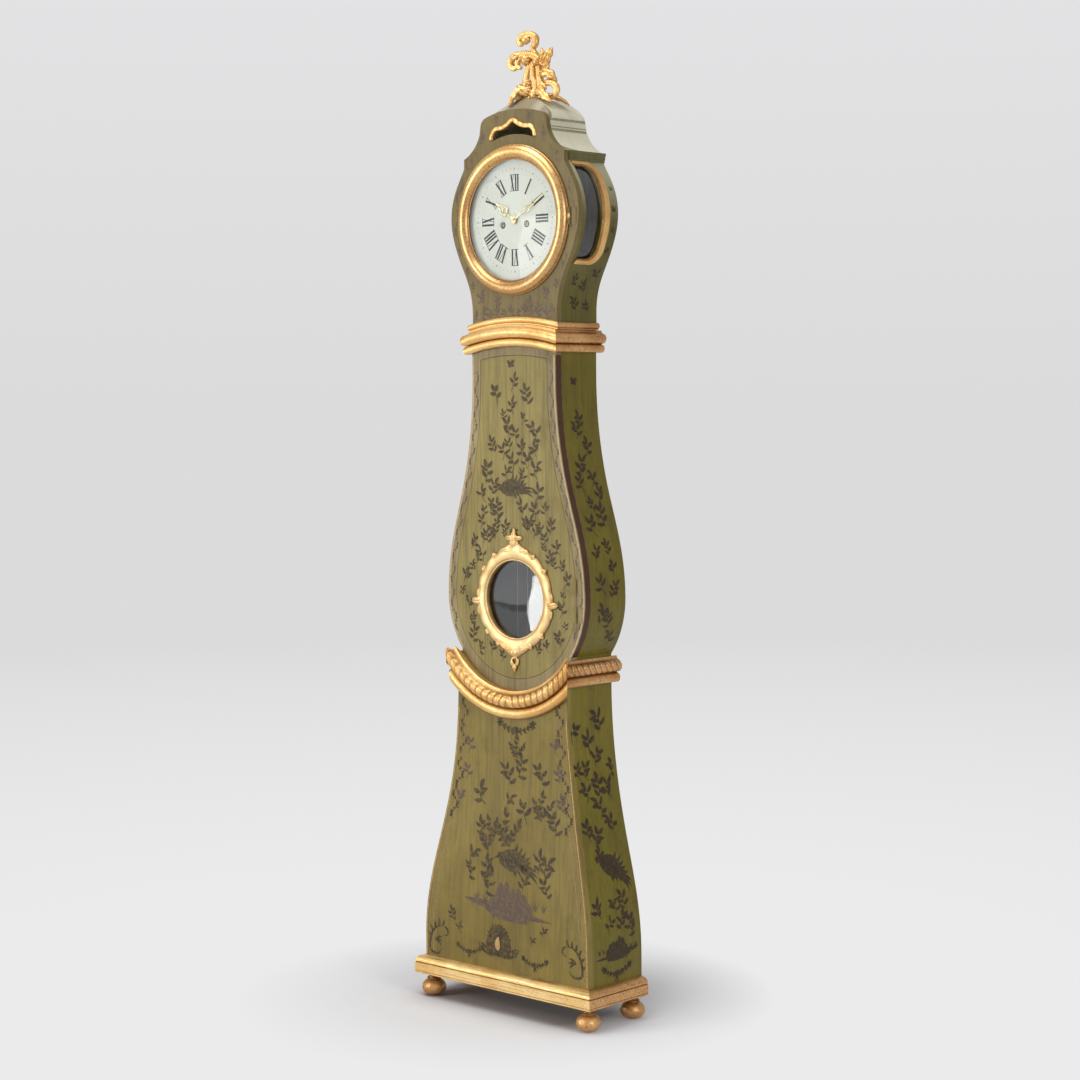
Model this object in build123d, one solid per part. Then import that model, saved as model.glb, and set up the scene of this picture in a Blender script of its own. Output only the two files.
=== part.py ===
from build123d import *
import math
import os

# A Swedish rococo longcase clock of the Mora family, in millimetres.
# X runs to the right of someone who faces the dial, the dial looks towards -Y and Z is up.
# "Depth" is measured forwards from the flat back of the case.
os.makedirs("parts", exist_ok=True)

# ---------------------------------------------------------------- driving sizes: case
moulding_overrun = 14.0      # the two side mouldings run on behind the back, to clear a skirting
board = 14.0                 # side boards of base and trunk
front_board = 16.0           # curved front of the base
back_board = 10.0

foot_height = 61.0
foot_ball_radius = 32.0
foot_neck_radius = 14.0
foot_pad_radius = 21.0
foot_inset = 14.0            # foot centre inside the faces of the base
foot_back = 20.0             # back foot centre in front of the back

plinth_height = 47.0
plinth_projection = 22.0
plinth_flange = 11.0         # frame under the base that the feet are screwed to
plinth_flange_width = 44.0

base_foot_half = 289.0       # half width of the base just above the plinth
base_mid_half = 244.0
base_mid_z = 450.0
base_foot_depth = 203.0
base_mid_depth = 184.0
base_top_depth = 170.0
base_straight = 60.0         # height of the straight part above the plinth
base_depth_top_z = 680.0     # the front is upright from here up

waist_half = 192.0           # half width where base and trunk meet
waist_z = 888.0
waist_side_low = 854.0
waist_side_high = 922.0
waist_projection = 24.0
swoop_width = 72.0           # width of the curved front waist moulding
swoop_lap = 29.0             # how much of it lies on the trunk's frame
trunk_depth = 154.0
bulb_radius = 241.0
bulb_z = 1074.0
flank_half = 184.0           # half width of the trunk on its concave flank
flank_z = 1352.0
neck_half = 146.0
neck_low_z = 1640.0
frame_thickness = 22.0
frame_drop = 4.0             # how far the frame's top stays under the neck moulding's

neck_moulding_z = 1696.0     # lower edge of the neck moulding at the case's corners
neck_moulding_height = 57.0
neck_projection = 23.0
neck_rise = 17.0             # how much the front arches up at its middle

# ---------------------------------------------------------------- driving sizes: trunk door
door_inset = 30.0            # frame width around the door
door_gap = 1.2
door_thickness = 15.0
door_back_gap = 0.5
door_top_margin = 22.0
rebate = 10.0                # lip behind the door's edge
window_z = 1067.0
window_hole = 106.0
window_glass_thickness = 3.0
window_glass_depth = 141.0
window_sight = 100.0
window_rim = 134.0
window_relief = 10.0
door_hinge_radius = 3.5
door_hinge_pin = 1.5
door_hinge_length = 40.0
door_hinge_leaf = 1.5
door_hinge_reach = 20.0
door_hinge_spacing = 70.0
running_fit = 0.05
lock_width = 44.0
lock_height = 60.0
lock_depth = 16.0
lock_wall = 3.0
lock_margin = 4.0            # from the lock case to the rebate lip
bolt_rise = 36.0             # lower edge of the bolt over the bottom of the lock case
bolt_length = 28.0
bolt_height = 12.0
bolt_thickness = 5.6         # thin enough to pass behind the rebate lip
key_radius = 3.0
key_x = 24.0
key_rise = 22.0

# ---------------------------------------------------------------- driving sizes: hood
hood_depth = 149.0
hood_board = 16.0
hood_side = 12.0
hood_clearance = 1.5
hood_neck_half = 148.0
hood_neck_top = 1800.0
hood_flare_half = 190.0
hood_flare_z = 1932.0
hood_wide_half = 223.0
hood_wide_z = 2046.0
hood_shoulder_half = 203.0
hood_shoulder_z = 2125.0
cornice_half = 175.0
cornice_z = 2174.0
cornice_height = 24.0
cornice_projection = 8.0
cap_half = 166.0
cap_step_half = 118.0
cap_step_z = 2256.0
cap_step_height = 25.0
cap_step = 4.0
cap_top_z = 2346.0
cap_round = (0.74, 0.54)      # where the ridge's round passes, as shares of its half and height
pediment_top_z = 2313.0       # the front board ends lower than the ridge
pediment_round = (0.75, 0.66)
cap_slope_run = 46.0          # the cap's front slopes from the board up to the ridge
cap_slope_rise = 40.0
roof_board = 10.0
hood_bead_height = 19.0
hood_bead_projection = 11.0
hood_bead_gap = 1.0

light_low_z = 1930.0         # side light of the hood
light_high_z = 2160.0
light_back = 61.0
light_front = 121.0
light_corner = 26.0
light_glass_thickness = 2.0
light_band_back = 30.0
light_band_top = 14.0
light_band_front = 5.0
light_relief = 5.0

aperture_half = 70.0
aperture_radius = 216.0      # lower edge, struck from the dial's centre
aperture_shoulder_x = 46.0
aperture_shoulder_z = 2262.0
aperture_apex_z = 2282.0
aperture_border = 12.0
aperture_relief = 5.0

cresting_depth = 82.0
cresting_half = 100.0
cresting_rise = 174.0        # height over the ridge
cresting_root = 60.0         # how far it may reach down the cap's sides
cresting_thickness = 26.0

# ---------------------------------------------------------------- driving sizes: bezel and dial
dial_z = 2034.0
bezel_outer = 191.0
bezel_inner = 153.0
bezel_height = 19.0
bezel_gap = 0.5
bezel_glass_radius = 159.5
bezel_glass_thickness = 2.5
bezel_hinge_radius = 3.5
bezel_hinge_pin = 1.5
bezel_hinge_length = 42.0
dial_hole_in_board = 163.0
dial_radius = 160.0
dial_thickness = 2.0
dial_face_depth = 143.0
minute_angle = 60.0          # the hands stand at ten past ten
hour_angle = 305.0

# ---------------------------------------------------------------- driving sizes: movement
plate_half = 85.0
plate_low_z = 1923.0
plate_high_z = 2134.0
plate_thickness = 3.0
back_plate_depth = 46.0
front_plate_depth = 104.0
pillar_radius = 5.0
pillar_inset = 15.0          # lower pillars inside the plates' sides
pillar_top_x = 36.0
pillar_low_rise = 12.0
pillar_top_drop = 9.0
dial_foot_radius = 3.0
dial_foot_inset = 11.0
dial_foot_low_rise = 30.0
dial_foot_top_drop = 12.0
pivot_radius = 1.5
arbor_radius = 2.2
centre_arbor_radius = 4.5
hour_pipe_radius = 6.5
winding_x = 41.5
winding_drop = 11.5
winding_radius = 3.5
barrel_radius = 20.0
barrel_flange = 23.0
barrel_length = 32.0
wheel_thickness = 2.5
leaf_length = 9.0            # length of a pinion
pinion_leaves = 8
great_teeth = 96
strike_great_teeth = 84
centre_teeth = 64
third_teeth = 60
pin_teeth = 56
third_angle = 100.0          # where each arbor stands round the one that drives it
escape_angle = 78.7
pin_wheel_angle = 95.0
fine_module = 0.8
escape_module = 0.75
escape_teeth = 30
escape_radius = 20.0
pallet_clearance = 2.5
bell_radius = 46.0
bell_height = 32.0
bell_wall = 2.5
bell_z = 2136.0
hammer_head = 6.0
hammer_rest = 3.0            # gap between the resting hammer and the bell
hammer_tail = 19.0           # ends just outside the circle of the pin wheel's pins
motion_module = 0.7
motion_stud_radius = 0.7
motion_teeth = 36
hour_teeth = 72
minute_pinion_leaves = 6
motion_angle = -60.0
pallet_z = 2115.0

pendulum_length = 1010.0
pendulum_depth = 30.0
rod_width = 8.0
rod_thickness = 2.5
bob_radius = 55.0
bob_thickness = 26.0
screw_radius = 2.0

seat_thickness = 18.0
seat_half = 132.0
seat_back = 42.0
seat_front = 112.0
cheek_low_z = 1660.0
cheek_back = 20.0

weight_radius = 31.0
weight_height = 170.0
weight_low_z = 300.0
line_radius = 0.8
line_gap = 0.3
pulley_radius = 18.0
pulley_thickness = 7.0
line_depth = 78.0

# ---------------------------------------------------------------- derived places
back_y = (base_foot_depth + plinth_projection - moulding_overrun) / 2
base_low_z = foot_height + plinth_flange
plinth_top_z = foot_height + plinth_height
frame_back = trunk_depth - frame_thickness
panel_back = base_top_depth - front_board
arch_radius = (neck_half**2 + neck_rise**2) / (2 * neck_rise)
arch_z = neck_moulding_z + neck_rise - arch_radius
neck_top_radius = arch_radius + neck_moulding_height
neck_top_z = neck_moulding_z + neck_moulding_height
hood_low_radius = neck_top_radius + hood_bead_gap
hood_low_z = neck_top_z + hood_bead_gap
hood_back = hood_depth - hood_board
cap_foot_z = cornice_z + cornice_height
bulb_start_z = bulb_z - math.sqrt(bulb_radius**2 - waist_half**2)
winding_z = dial_z - winding_drop
seat_top_z = plate_low_z
seat_low_z = seat_top_z - seat_thickness


# ---------------------------------------------------------------- helpers
def y_at(depth):
    """Y of a point that stands a given depth in front of the case's back."""
    return back_y - depth


def slab(face, near, far):
    """Extrudes a face drawn in X and Z from one depth forwards to another."""
    return extrude(Plane.XZ.offset(near - back_y) * face, far - near)


def side_slab(face, x_from, x_to):
    """Extrudes a face drawn in depth and Z across the case, from x_from up to x_to."""
    plane = Plane(origin=(x_to, back_y, 0), x_dir=(0, -1, 0), z_dir=(-1, 0, 0))
    return extrude(plane * face, x_to - x_from)


def plan_slab(points, low, high):
    """Extrudes a closed run of (X, depth) points upwards from one height to another."""
    corners = [(x, y_at(depth)) for x, depth in points]
    face = make_face(Polyline(corners, close=True))
    return extrude(Plane.XY.offset(low) * face, high - low)


def block(x_from, x_to, near, far, low, high):
    """A rectangular block between two X values, two depths and two heights."""
    return plan_slab([(x_from, near), (x_to, near), (x_to, far), (x_from, far)], low, high)


def ring_about(x, z, points):
    """Turns a closed run of (radius, depth) points about a line along Y through X and Z."""
    corners = [(x, y_at(depth), z + radius) for radius, depth in points]
    face = make_face(Polyline(corners, close=True))
    return revolve(face, Axis((x, 0, z), (0, 1, 0)), 360)


def rod(x, z, radius, near, far):
    """A round bar along Y between two depths."""
    return slab(Pos(x, z) * Circle(radius), near, far)


def upright(x, depth, radius, low, high):
    """A round bar along Z between two heights."""
    return extrude(Plane.XY.offset(low) * Pos(x, y_at(depth)) * Circle(radius), high - low)


def both_sides(shape):
    """The shape and its mirror image on the other side of the case."""
    return [*shape.solids(), *mirror(shape, Plane.YZ).solids()]


def save(name, *shapes):
    """Writes one node: every solid of the shapes given."""
    solids = [solid for shape in shapes for solid in shape.solids()]
    export_step(Compound(solids), f"parts/{name}.step")


def closed_outline(right_edges, bottom=None, top=None):
    """A face from the edges of its right side, mirrored, with a bottom and a top edge."""
    left_edges = [mirror(edge, Plane.YZ) for edge in right_edges]
    start = right_edges[0] @ 0
    end = right_edges[-1] @ 1
    edges = [*right_edges, *left_edges]
    if start.X > 1e-6:
        edges.append(bottom or Line((start.X, start.Y), (-start.X, start.Y)))
    if end.X > 1e-6:
        edges.append(top or Line((end.X, end.Y), (-end.X, end.Y)))
    return make_face(edges)


def arch_over(half, radius):
    """Arc of a circle struck from the arch's centre, between two half widths."""
    end_z = arch_z + math.sqrt(radius**2 - half**2)
    return end_z, ThreePointArc((half, end_z), (0, arch_z + radius), (-half, end_z))


# ---------------------------------------------------------------- outlines of the case
def base_side_edges(inset):
    """Right edge of the base: straight above the plinth, then a hollow flare up to the waist."""
    straight_top = plinth_top_z + base_straight
    foot = base_foot_half - inset
    top = waist_half - inset
    return [
        Line((foot, base_low_z), (foot, straight_top)),
        Spline(
            (foot, straight_top),
            (base_mid_half - inset, base_mid_z),
            (top, waist_side_low),
            tangents=[(0, 1), (0, 1)],
        ),
        Line((top, waist_side_low), (top, waist_z)),
    ]


def base_depth_edges(inset):
    """Front edge of the base seen from the side, from the plinth up to the waist."""
    straight_top = plinth_top_z + base_straight
    foot = base_foot_depth - inset
    top = base_top_depth - inset
    return [
        Line((foot, base_low_z), (foot, straight_top)),
        Spline(
            (foot, straight_top),
            (base_mid_depth - inset, base_mid_z),
            (top, base_depth_top_z),
            tangents=[(0, 1), (0, 1)],
        ),
        Line((top, base_depth_top_z), (top, waist_z)),
    ]


def base_depth_face(inset):
    """Everything behind the base's front, seen from the side."""
    edges = base_depth_edges(inset)
    foot = base_foot_depth - inset
    top = base_top_depth - inset
    edges += [
        Line((top, waist_z), (0, waist_z)),
        Line((0, waist_z), (0, base_low_z)),
        Line((0, base_low_z), (foot, base_low_z)),
    ]
    return make_face(edges)


def flank_edges(inset, low_z, high_z):
    """Right edge of the trunk from the bulb's widest point up to the neck."""
    return [
        Spline(
            (bulb_radius - inset, bulb_z),
            (flank_half - inset, flank_z),
            (neck_half - inset, neck_low_z),
            tangents=[(0, 1), (0, 1)],
        ),
        Line((neck_half - inset, neck_low_z), (neck_half - inset, high_z)),
    ]


def bulb_arc(inset, from_half):
    """Lower right of the bulb, from a half width out to its widest point."""
    radius = bulb_radius - inset
    start_z = bulb_z - math.sqrt(radius**2 - from_half**2)
    turn = (math.atan2(start_z - bulb_z, from_half)) / 2
    middle = (radius * math.cos(turn), bulb_z + radius * math.sin(turn))
    return start_z, ThreePointArc((from_half, start_z), middle, (radius, bulb_z))


def trunk_outline(inset, high_z, top=None):
    """Outline of the trunk above the waist."""
    half = waist_half - inset
    start_z, arc = bulb_arc(inset, half)
    edges = [Line((half, waist_z), (half, start_z)), arc, *flank_edges(inset, waist_z, high_z)]
    return closed_outline(edges, top=top)


def pear(inset, top_margin):
    """Outline of the trunk door: round below, with an arched top."""
    _, arc = bulb_arc(inset, 0)
    half = neck_half - inset
    end_z, top = arch_over(half, arch_radius - top_margin)
    return closed_outline([arc, *flank_edges(inset, bulb_z, end_z)], top=top)


def hood_edges(inset, low_z):
    """Right edge of the hood from the neck up to the cornice."""
    return [
        Line((hood_neck_half - inset, low_z), (hood_neck_half - inset, hood_neck_top)),
        Spline(
            (hood_neck_half - inset, hood_neck_top),
            (hood_flare_half - inset, hood_flare_z),
            (hood_wide_half - inset, hood_wide_z),
            (hood_shoulder_half - inset, hood_shoulder_z),
            (cornice_half - inset, cornice_z),
            tangents=[(0, 1), (-0.5, 1)],
        ),
    ]


def cap_edges(inset, drop, top_z=cap_top_z, bulge=cap_round):
    """Right edge of the hood's cap: a hollow, a small step, then a round up to its top."""
    top_z -= drop
    foot_z = cap_foot_z - drop
    step_z = cap_step_z - drop
    shelf = cap_step_half - cap_step - inset
    ledge_z = step_z + cap_step_height
    hollow = (cap_half - inset) * 0.36 + (cap_step_half - inset) * 0.64
    return [
        Line((cornice_half - inset, cornice_z), (cornice_half - inset, foot_z)),
        Line((cornice_half - inset, foot_z), (cap_half - inset, foot_z + cap_step)),
        ThreePointArc(
            (cap_half - inset, foot_z + cap_step),
            (hollow, (foot_z + step_z) / 2),
            (cap_step_half - inset, step_z),
        ),
        Line((cap_step_half - inset, step_z), (shelf, ledge_z)),
        Spline(
            (shelf, ledge_z),
            (shelf * bulge[0], ledge_z + bulge[1] * (top_z - ledge_z)),
            (0, top_z),
            tangents=[(-0.25, 1), (-1, 0)],
        ),
    ]


def pediment_outline(inset, drop):
    """Outline of the cap where it meets the front board: the same sides under a lower round."""
    return closed_outline(cap_edges(inset, drop, pediment_top_z, pediment_round))


def cap_body(inset, drop):
    """The cap as a barrel whose front slopes down to the round of the front board."""
    barrel = slab(closed_outline(cap_edges(inset, drop)), 0, hood_back)
    front = Plane.XZ.offset(hood_back - back_y) * pediment_outline(inset, drop)
    rising = (0, cap_slope_run, cap_slope_rise)
    swept = extrude(front, math.hypot(cap_slope_run, cap_slope_rise), dir=rising)
    ledge_z = cap_step_z + cap_step_height - drop
    over = block(
        -cornice_half, cornice_half, hood_back - cap_slope_run, hood_back, ledge_z - 3, cap_top_z + 1
    )
    return barrel - (over - swept)


# ---------------------------------------------------------------- mouldings
def mitre_front(half, face_depth, reach, low, high):
    """Room for a front moulding between its two mitres."""
    points = [
        (-half, 0),
        (-half, face_depth),
        (-half - reach, face_depth + reach),
        (half + reach, face_depth + reach),
        (half, face_depth),
        (half, 0),
    ]
    return plan_slab(points, low, high)


def mitre_side(half, face_depth, reach, back, low, high):
    """Room for the right-hand side moulding behind its mitre."""
    points = [
        (half, back),
        (half, face_depth),
        (half + reach, face_depth + reach),
        (half + reach, back),
    ]
    return plan_slab(points, low, high)


def carved_profile(height, reach):
    """Fillet, hollow and big round of the carved mouldings, as (rise, projection) points."""
    points = [(0, 0), (0, reach * 0.22), (height * 0.1, reach * 0.22)]
    for step in range(1, 5):
        turn = math.radians(90 * step / 4)
        rise = height * (0.1 + 0.2 * math.sin(turn))
        points.append((rise, reach * (0.22 + 0.3 * (1 - math.cos(turn)))))
    for step in range(0, 9):
        turn = math.radians(-75 + 155 * step / 8)
        rise = height * (0.62 + 0.29 * math.sin(turn))
        points.append((rise, reach * (0.5 + 0.5 * math.cos(turn))))
    points += [(height, reach * 0.38), (height, 0)]
    return points


def straight_moulding(profile, half, low_z, back, far):
    """A side moulding: the profile drawn out from the side face, run from back to front."""
    face = make_face(Polyline([(half + out, low_z + rise) for rise, out in profile], close=True))
    return slab(face, back, far)


# Feet: turned balls with a short neck and a pad under the plinth.
def bun_foot(x, depth):
    ball_z = foot_ball_radius * 0.78
    profile = [
        (0, 0),
        (foot_ball_radius * 0.45, 0),
    ]
    for step in range(1, 12):
        turn = math.radians(-52 + 104 * step / 12)
        profile.append((foot_ball_radius * math.cos(turn), ball_z + foot_ball_radius * math.sin(turn)))
    profile += [
        (foot_neck_radius, foot_height - 10),
        (foot_pad_radius, foot_height - 5),
        (foot_pad_radius, foot_height),
        (0, foot_height),
    ]
    face = make_face(Polyline([(x + r, y_at(depth), z) for r, z in profile], close=True))
    return revolve(face, Axis((x, y_at(depth), 0), (0, 0, 1)), 360)


def bun_feet():
    x = base_foot_half - foot_inset
    front = base_foot_depth - foot_inset
    return [bun_foot(sx * x, depth) for sx in (-1, 1) for depth in (foot_back, front)]


def plinth_profile():
    """Section of the plinth as (rise, projection): a flat frame under the base and its face."""
    return [
        (0, -plinth_flange_width),
        (0, plinth_projection),
        (plinth_height * 0.62, plinth_projection),
        (plinth_height * 0.70, plinth_projection * 0.8),
        (plinth_height * 0.86, plinth_projection * 0.72),
        (plinth_height, plinth_projection * 0.2),
        (plinth_height, 0),
        (plinth_flange, 0),
        (plinth_flange, -plinth_flange_width),
    ]


def plinth_moulding():
    half = base_foot_half
    reach = plinth_projection + 1
    inside = plinth_flange_width
    profile = plinth_profile()
    high = plinth_top_z + 1
    side = straight_moulding(profile, half, foot_height, 0, base_foot_depth + reach)
    side &= plan_slab(
        [
            (half - inside, 0),
            (half - inside, base_foot_depth - inside),
            (half + reach, base_foot_depth + reach),
            (half + reach, 0),
        ],
        foot_height - 1,
        high,
    )
    section = [(base_foot_depth + out, foot_height + rise) for rise, out in profile]
    front = side_slab(make_face(Polyline(section, close=True)), -half - reach, half + reach)
    front &= plan_slab(
        [
            (-half + inside, base_foot_depth - inside),
            (-half - reach, base_foot_depth + reach),
            (half + reach, base_foot_depth + reach),
            (half - inside, base_foot_depth - inside),
        ],
        foot_height - 1,
        high,
    )
    return [*front.solids(), *both_sides(side)]


# ---------------------------------------------------------------- base
def swoop_cylinder(radius, near, far):
    return rod(0, bulb_z, radius, near, far)


def base_front_panel():
    """Front of the base: hollow in height, cut out at the top under the swooping moulding."""
    outer = side_slab(base_depth_face(0), -base_foot_half, base_foot_half)
    inner = side_slab(base_depth_face(front_board), -base_foot_half, base_foot_half)
    width = slab(closed_outline(base_side_edges(0)), 0, base_foot_depth)
    panel = (outer - inner) & width
    return panel - swoop_cylinder(bulb_radius + swoop_lap, 0, base_foot_depth)


def base_side():
    band = closed_outline(base_side_edges(0)) - closed_outline(base_side_edges(board))
    walls = slab(band, 0, base_foot_depth) & side_slab(
        base_depth_face(front_board), 0, base_foot_half
    )
    return walls


def bottom_board():
    half = base_foot_half - board
    front = base_foot_depth - front_board
    return block(-half, half, back_board, front, base_low_z, base_low_z + board)


# ---------------------------------------------------------------- trunk
def trunk_side():
    """Side of the trunk; its top follows the neck's arch, so that the hood slides on it."""
    end_z, top = arch_over(neck_half, neck_top_radius)
    high = neck_top_z + neck_rise + 1
    walls = slab(trunk_outline(0, end_z, top) - trunk_outline(board, high), 0, frame_back)
    return walls & block(0, bulb_radius, 0, frame_back, waist_z, high)


def trunk_front_frame():
    """Frame around the door, with a rebate lip; a tongue under it goes up behind the base's front."""
    end_z, top = arch_over(neck_half, neck_top_radius - frame_drop)
    upper = trunk_outline(0, end_z, top)
    tail_half = waist_half - board
    below = Pos(0, waist_z - tail_half / 2) * Rectangle(2 * tail_half, tail_half)
    bowl = below & (Pos(0, bulb_z) * Circle(bulb_radius + swoop_lap))
    tongue = below & (Pos(0, bulb_z) * Circle(bulb_radius + swoop_lap + board))
    blank = slab(upper + bowl, frame_back, trunk_depth) + slab(tongue - bowl, frame_back, panel_back)
    door_bed = trunk_depth - door_thickness - door_back_gap
    opening = slab(pear(door_inset - door_gap, door_top_margin - door_gap), door_bed, trunk_depth)
    rear = slab(pear(door_inset + rebate, door_top_margin + rebate), frame_back, trunk_depth)
    return blank - opening - rear


def neck_moulding():
    profile = carved_profile(neck_moulding_height, neck_projection)
    reach = neck_projection + 1
    high = neck_top_z + neck_rise + 1
    turned = ring_about(0, arch_z, [(arch_radius + rise, trunk_depth + out) for rise, out in profile])
    front = turned & mitre_front(neck_half, trunk_depth, reach, neck_moulding_z - board, high)
    side = straight_moulding(
        profile, neck_half, neck_moulding_z, -moulding_overrun, trunk_depth + reach
    )
    side &= mitre_side(neck_half, trunk_depth, reach, -moulding_overrun, 0, high)
    return [*front.solids(), *both_sides(side)]


def waist_moulding():
    profile = carved_profile(swoop_width, waist_projection)
    outer = bulb_radius + swoop_width + door_back_gap
    section = [(outer - rise, base_top_depth + out) for rise, out in profile[:-1]]
    lap = bulb_radius + swoop_lap
    section += [
        (outer - swoop_width, trunk_depth),
        (lap, trunk_depth),
        (lap, base_top_depth),
    ]
    reach = waist_projection + 1
    turned = ring_about(0, bulb_z, section)
    front = turned & mitre_front(waist_half, base_top_depth, reach, bulb_z - outer, bulb_start_z)
    height = waist_side_high - waist_side_low
    side = straight_moulding(
        carved_profile(height, waist_projection),
        waist_half,
        waist_side_low,
        -moulding_overrun,
        base_top_depth + reach,
    )
    side &= mitre_side(waist_half, base_top_depth, reach, -moulding_overrun, 0, bulb_z)
    return [*front.solids(), *both_sides(side)]


def backboard():
    """One board behind everything, from the base up inside the hood."""
    base = slab(closed_outline(base_side_edges(board)), 0, back_board)
    step_z = neck_top_z + neck_rise
    trunk = slab(trunk_outline(board, step_z), 0, back_board)
    inset = hood_side + hood_clearance
    hood_part = slab(closed_outline(hood_edges(inset, step_z)), 0, back_board)
    half = cornice_half - inset
    shoulder_z = cap_foot_z - roof_board - hood_clearance
    top = block(-half, half, 0, back_board, cornice_z, shoulder_z)
    half = cap_half - 2 * hood_side
    top += block(-half, half, 0, back_board, cornice_z, cap_foot_z - hood_clearance)
    return base + trunk + hood_part + top


def seat_cheek():
    return block(
        seat_half - hood_side, seat_half, cheek_back, seat_front, cheek_low_z, seat_low_z
    )


def line_places():
    """X of the line that leaves the barrel and X of the pulley, for each train."""
    places = {}
    for train, side in (("going", 1), ("strike", -1)):
        barrel_line = side * winding_x - barrel_radius - line_radius
        places[train] = (barrel_line, barrel_line + pulley_radius)
    return places


def seat_board():
    seat = block(-seat_half, seat_half, seat_back, seat_front, seat_low_z, seat_top_z)
    hole = line_radius * 6
    for barrel_line, pulley_x in line_places().values():
        for x in (barrel_line, 2 * pulley_x - barrel_line):
            seat -= upright(x, line_depth, hole, seat_low_z - 1, seat_top_z + 1)
    return seat


# ---------------------------------------------------------------- door
def window_frame_outline():
    """Outer outline of the carved window frame: a ring with crest, ears and a pointed foot."""
    ring = Pos(0, window_z) * Circle(window_rim)
    crest = Polyline(
        (0, window_z + window_rim + 55),
        (14, window_z + window_rim + 42),
        (13, window_z + window_rim + 34),
        (29, window_z + window_rim + 31),
        (28, window_z + window_rim + 22),
        (13, window_z + window_rim + 18),
        (17, window_z + window_rim + 4),
        (52, window_z + window_rim - 14),
        (52, window_z),
    )
    ear = Polyline(
        (window_rim - 10, window_z + 34),
        (window_rim + 8, window_z + 16),
        (window_rim + 18, window_z + 2),
        (window_rim + 16, window_z - 12),
        (window_rim - 8, window_z - 30),
    )
    foot = Polyline(
        (58, window_z - window_rim * 0.8),
        (30, window_z - window_rim + 2),
        (13, window_z - window_rim - 2),
        (0, window_z - window_rim - 12),
    )
    shapes = [ring]
    for line, close_to in ((crest, (0, window_z)), (ear, None), (foot, (0, window_z))):
        points = [(vertex.X, vertex.Y) for vertex in line.vertices()]
        if close_to:
            points.append(close_to)
        half = make_face(Polyline(points, close=True))
        shapes += [half, mirror(half, Plane.YZ)]
    outline = shapes[0]
    for shape in shapes[1:]:
        outline += shape
    return outline


def window_drop():
    """Small husk under the window frame."""
    low = window_z - window_rim - 55
    points = [(0, low), (8, low + 8), (13, low + 20), (5, low + 22), (4, low + 34), (0, low + 38)]
    half = make_face(Polyline(points, close=True))
    return half + mirror(half, Plane.YZ)


def window_frame():
    hole = Pos(0, window_z) * Circle(window_sight)
    front = slab(window_frame_outline() - hole, trunk_depth, trunk_depth + window_relief)
    lip_near = window_glass_depth + window_glass_thickness
    lip = slab(Pos(0, window_z) * Circle(window_hole) - hole, lip_near, trunk_depth)
    drop = slab(window_drop(), trunk_depth, trunk_depth + window_relief)
    return [*(front + lip).solids(), *drop.solids()]


def door_hinge_axis():
    """X and depth of the trunk door's hinge line, just outside the door's widest point."""
    x = bulb_radius - door_inset + door_gap / 2
    return x, trunk_depth + door_hinge_radius


def hinge_knuckles(x, depth, radius, low, length, odd):
    """Three-part hinge barrel: the middle part, or the two end parts."""
    third = length / 3
    gap = 0.2
    spans = [(low + third + gap, low + 2 * third - gap)]
    if not odd:
        spans = [(low, low + third - gap), (low + 2 * third + gap, low + length)]
    return [upright(x, depth, radius, a, b) for a, b in spans]


def door_hinge_set():
    """Door leaves, frame leaves and pins of the two trunk door hinges."""
    x, depth = door_hinge_axis()
    leaf_far = trunk_depth + door_hinge_leaf
    door_side = []
    frame_side = []
    for centre in (bulb_z - door_hinge_spacing / 2, bulb_z + door_hinge_spacing / 2):
        low = centre - door_hinge_length / 2
        third = door_hinge_length / 3
        middle = hinge_knuckles(x, depth, door_hinge_radius, low, door_hinge_length, True)[0]
        leaf = block(x - door_hinge_reach, x, trunk_depth, leaf_far, low + third + 0.2, low + 2 * third - 0.2)
        wide = block(
            x - door_hinge_reach, x - 7, trunk_depth, leaf_far, low, low + door_hinge_length
        )
        bore = upright(x, depth, door_hinge_pin + running_fit, low - 1, low + door_hinge_length + 1)
        door_side.append(leaf + wide + middle - bore)
        plate = block(x + 5, x + door_hinge_reach, trunk_depth, leaf_far, low, low + door_hinge_length)
        plate += block(x, x + 6, trunk_depth, leaf_far, low, low + third - 0.2)
        plate += block(x, x + 6, trunk_depth, leaf_far, low + 2 * third + 0.2, low + door_hinge_length)
        for knuckle in hinge_knuckles(x, depth, door_hinge_radius, low, door_hinge_length, False):
            plate += knuckle
        pin = upright(x, depth, door_hinge_pin, low, low + door_hinge_length)
        frame_side.append(plate + pin)
    return door_side, frame_side


lock_left = -(bulb_radius - door_inset - rebate - lock_margin)
lock_low = bulb_z - lock_height / 2
lock_far = trunk_depth - door_thickness
lock_near = lock_far - lock_depth
bolt_near = lock_near + lock_wall
bolt_low = lock_low + bolt_rise


def key_hole(near, far):
    return rod(lock_left + key_x, lock_low + key_rise, key_radius, near, far)


def door_panel():
    panel = slab(pear(door_inset, door_top_margin), trunk_depth - door_thickness, trunk_depth)
    panel -= rod(0, window_z, window_hole, 0, base_foot_depth)
    return panel - key_hole(0, base_foot_depth)


def door_lock():
    case = block(
        lock_left, lock_left + lock_width, lock_near, lock_far, lock_low, lock_low + lock_height
    )
    case -= block(
        lock_left - 1,
        lock_left + bolt_length + 2,
        bolt_near,
        bolt_near + bolt_thickness + 2 * running_fit,
        bolt_low,
        bolt_low + bolt_height + 2 * running_fit,
    )
    return case - key_hole(lock_near, lock_far)


def lock_bolt():
    return block(
        lock_left + 1,
        lock_left + 1 + bolt_length,
        bolt_near + running_fit,
        bolt_near + running_fit + bolt_thickness,
        bolt_low + running_fit,
        bolt_low + running_fit + bolt_height,
    )


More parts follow.
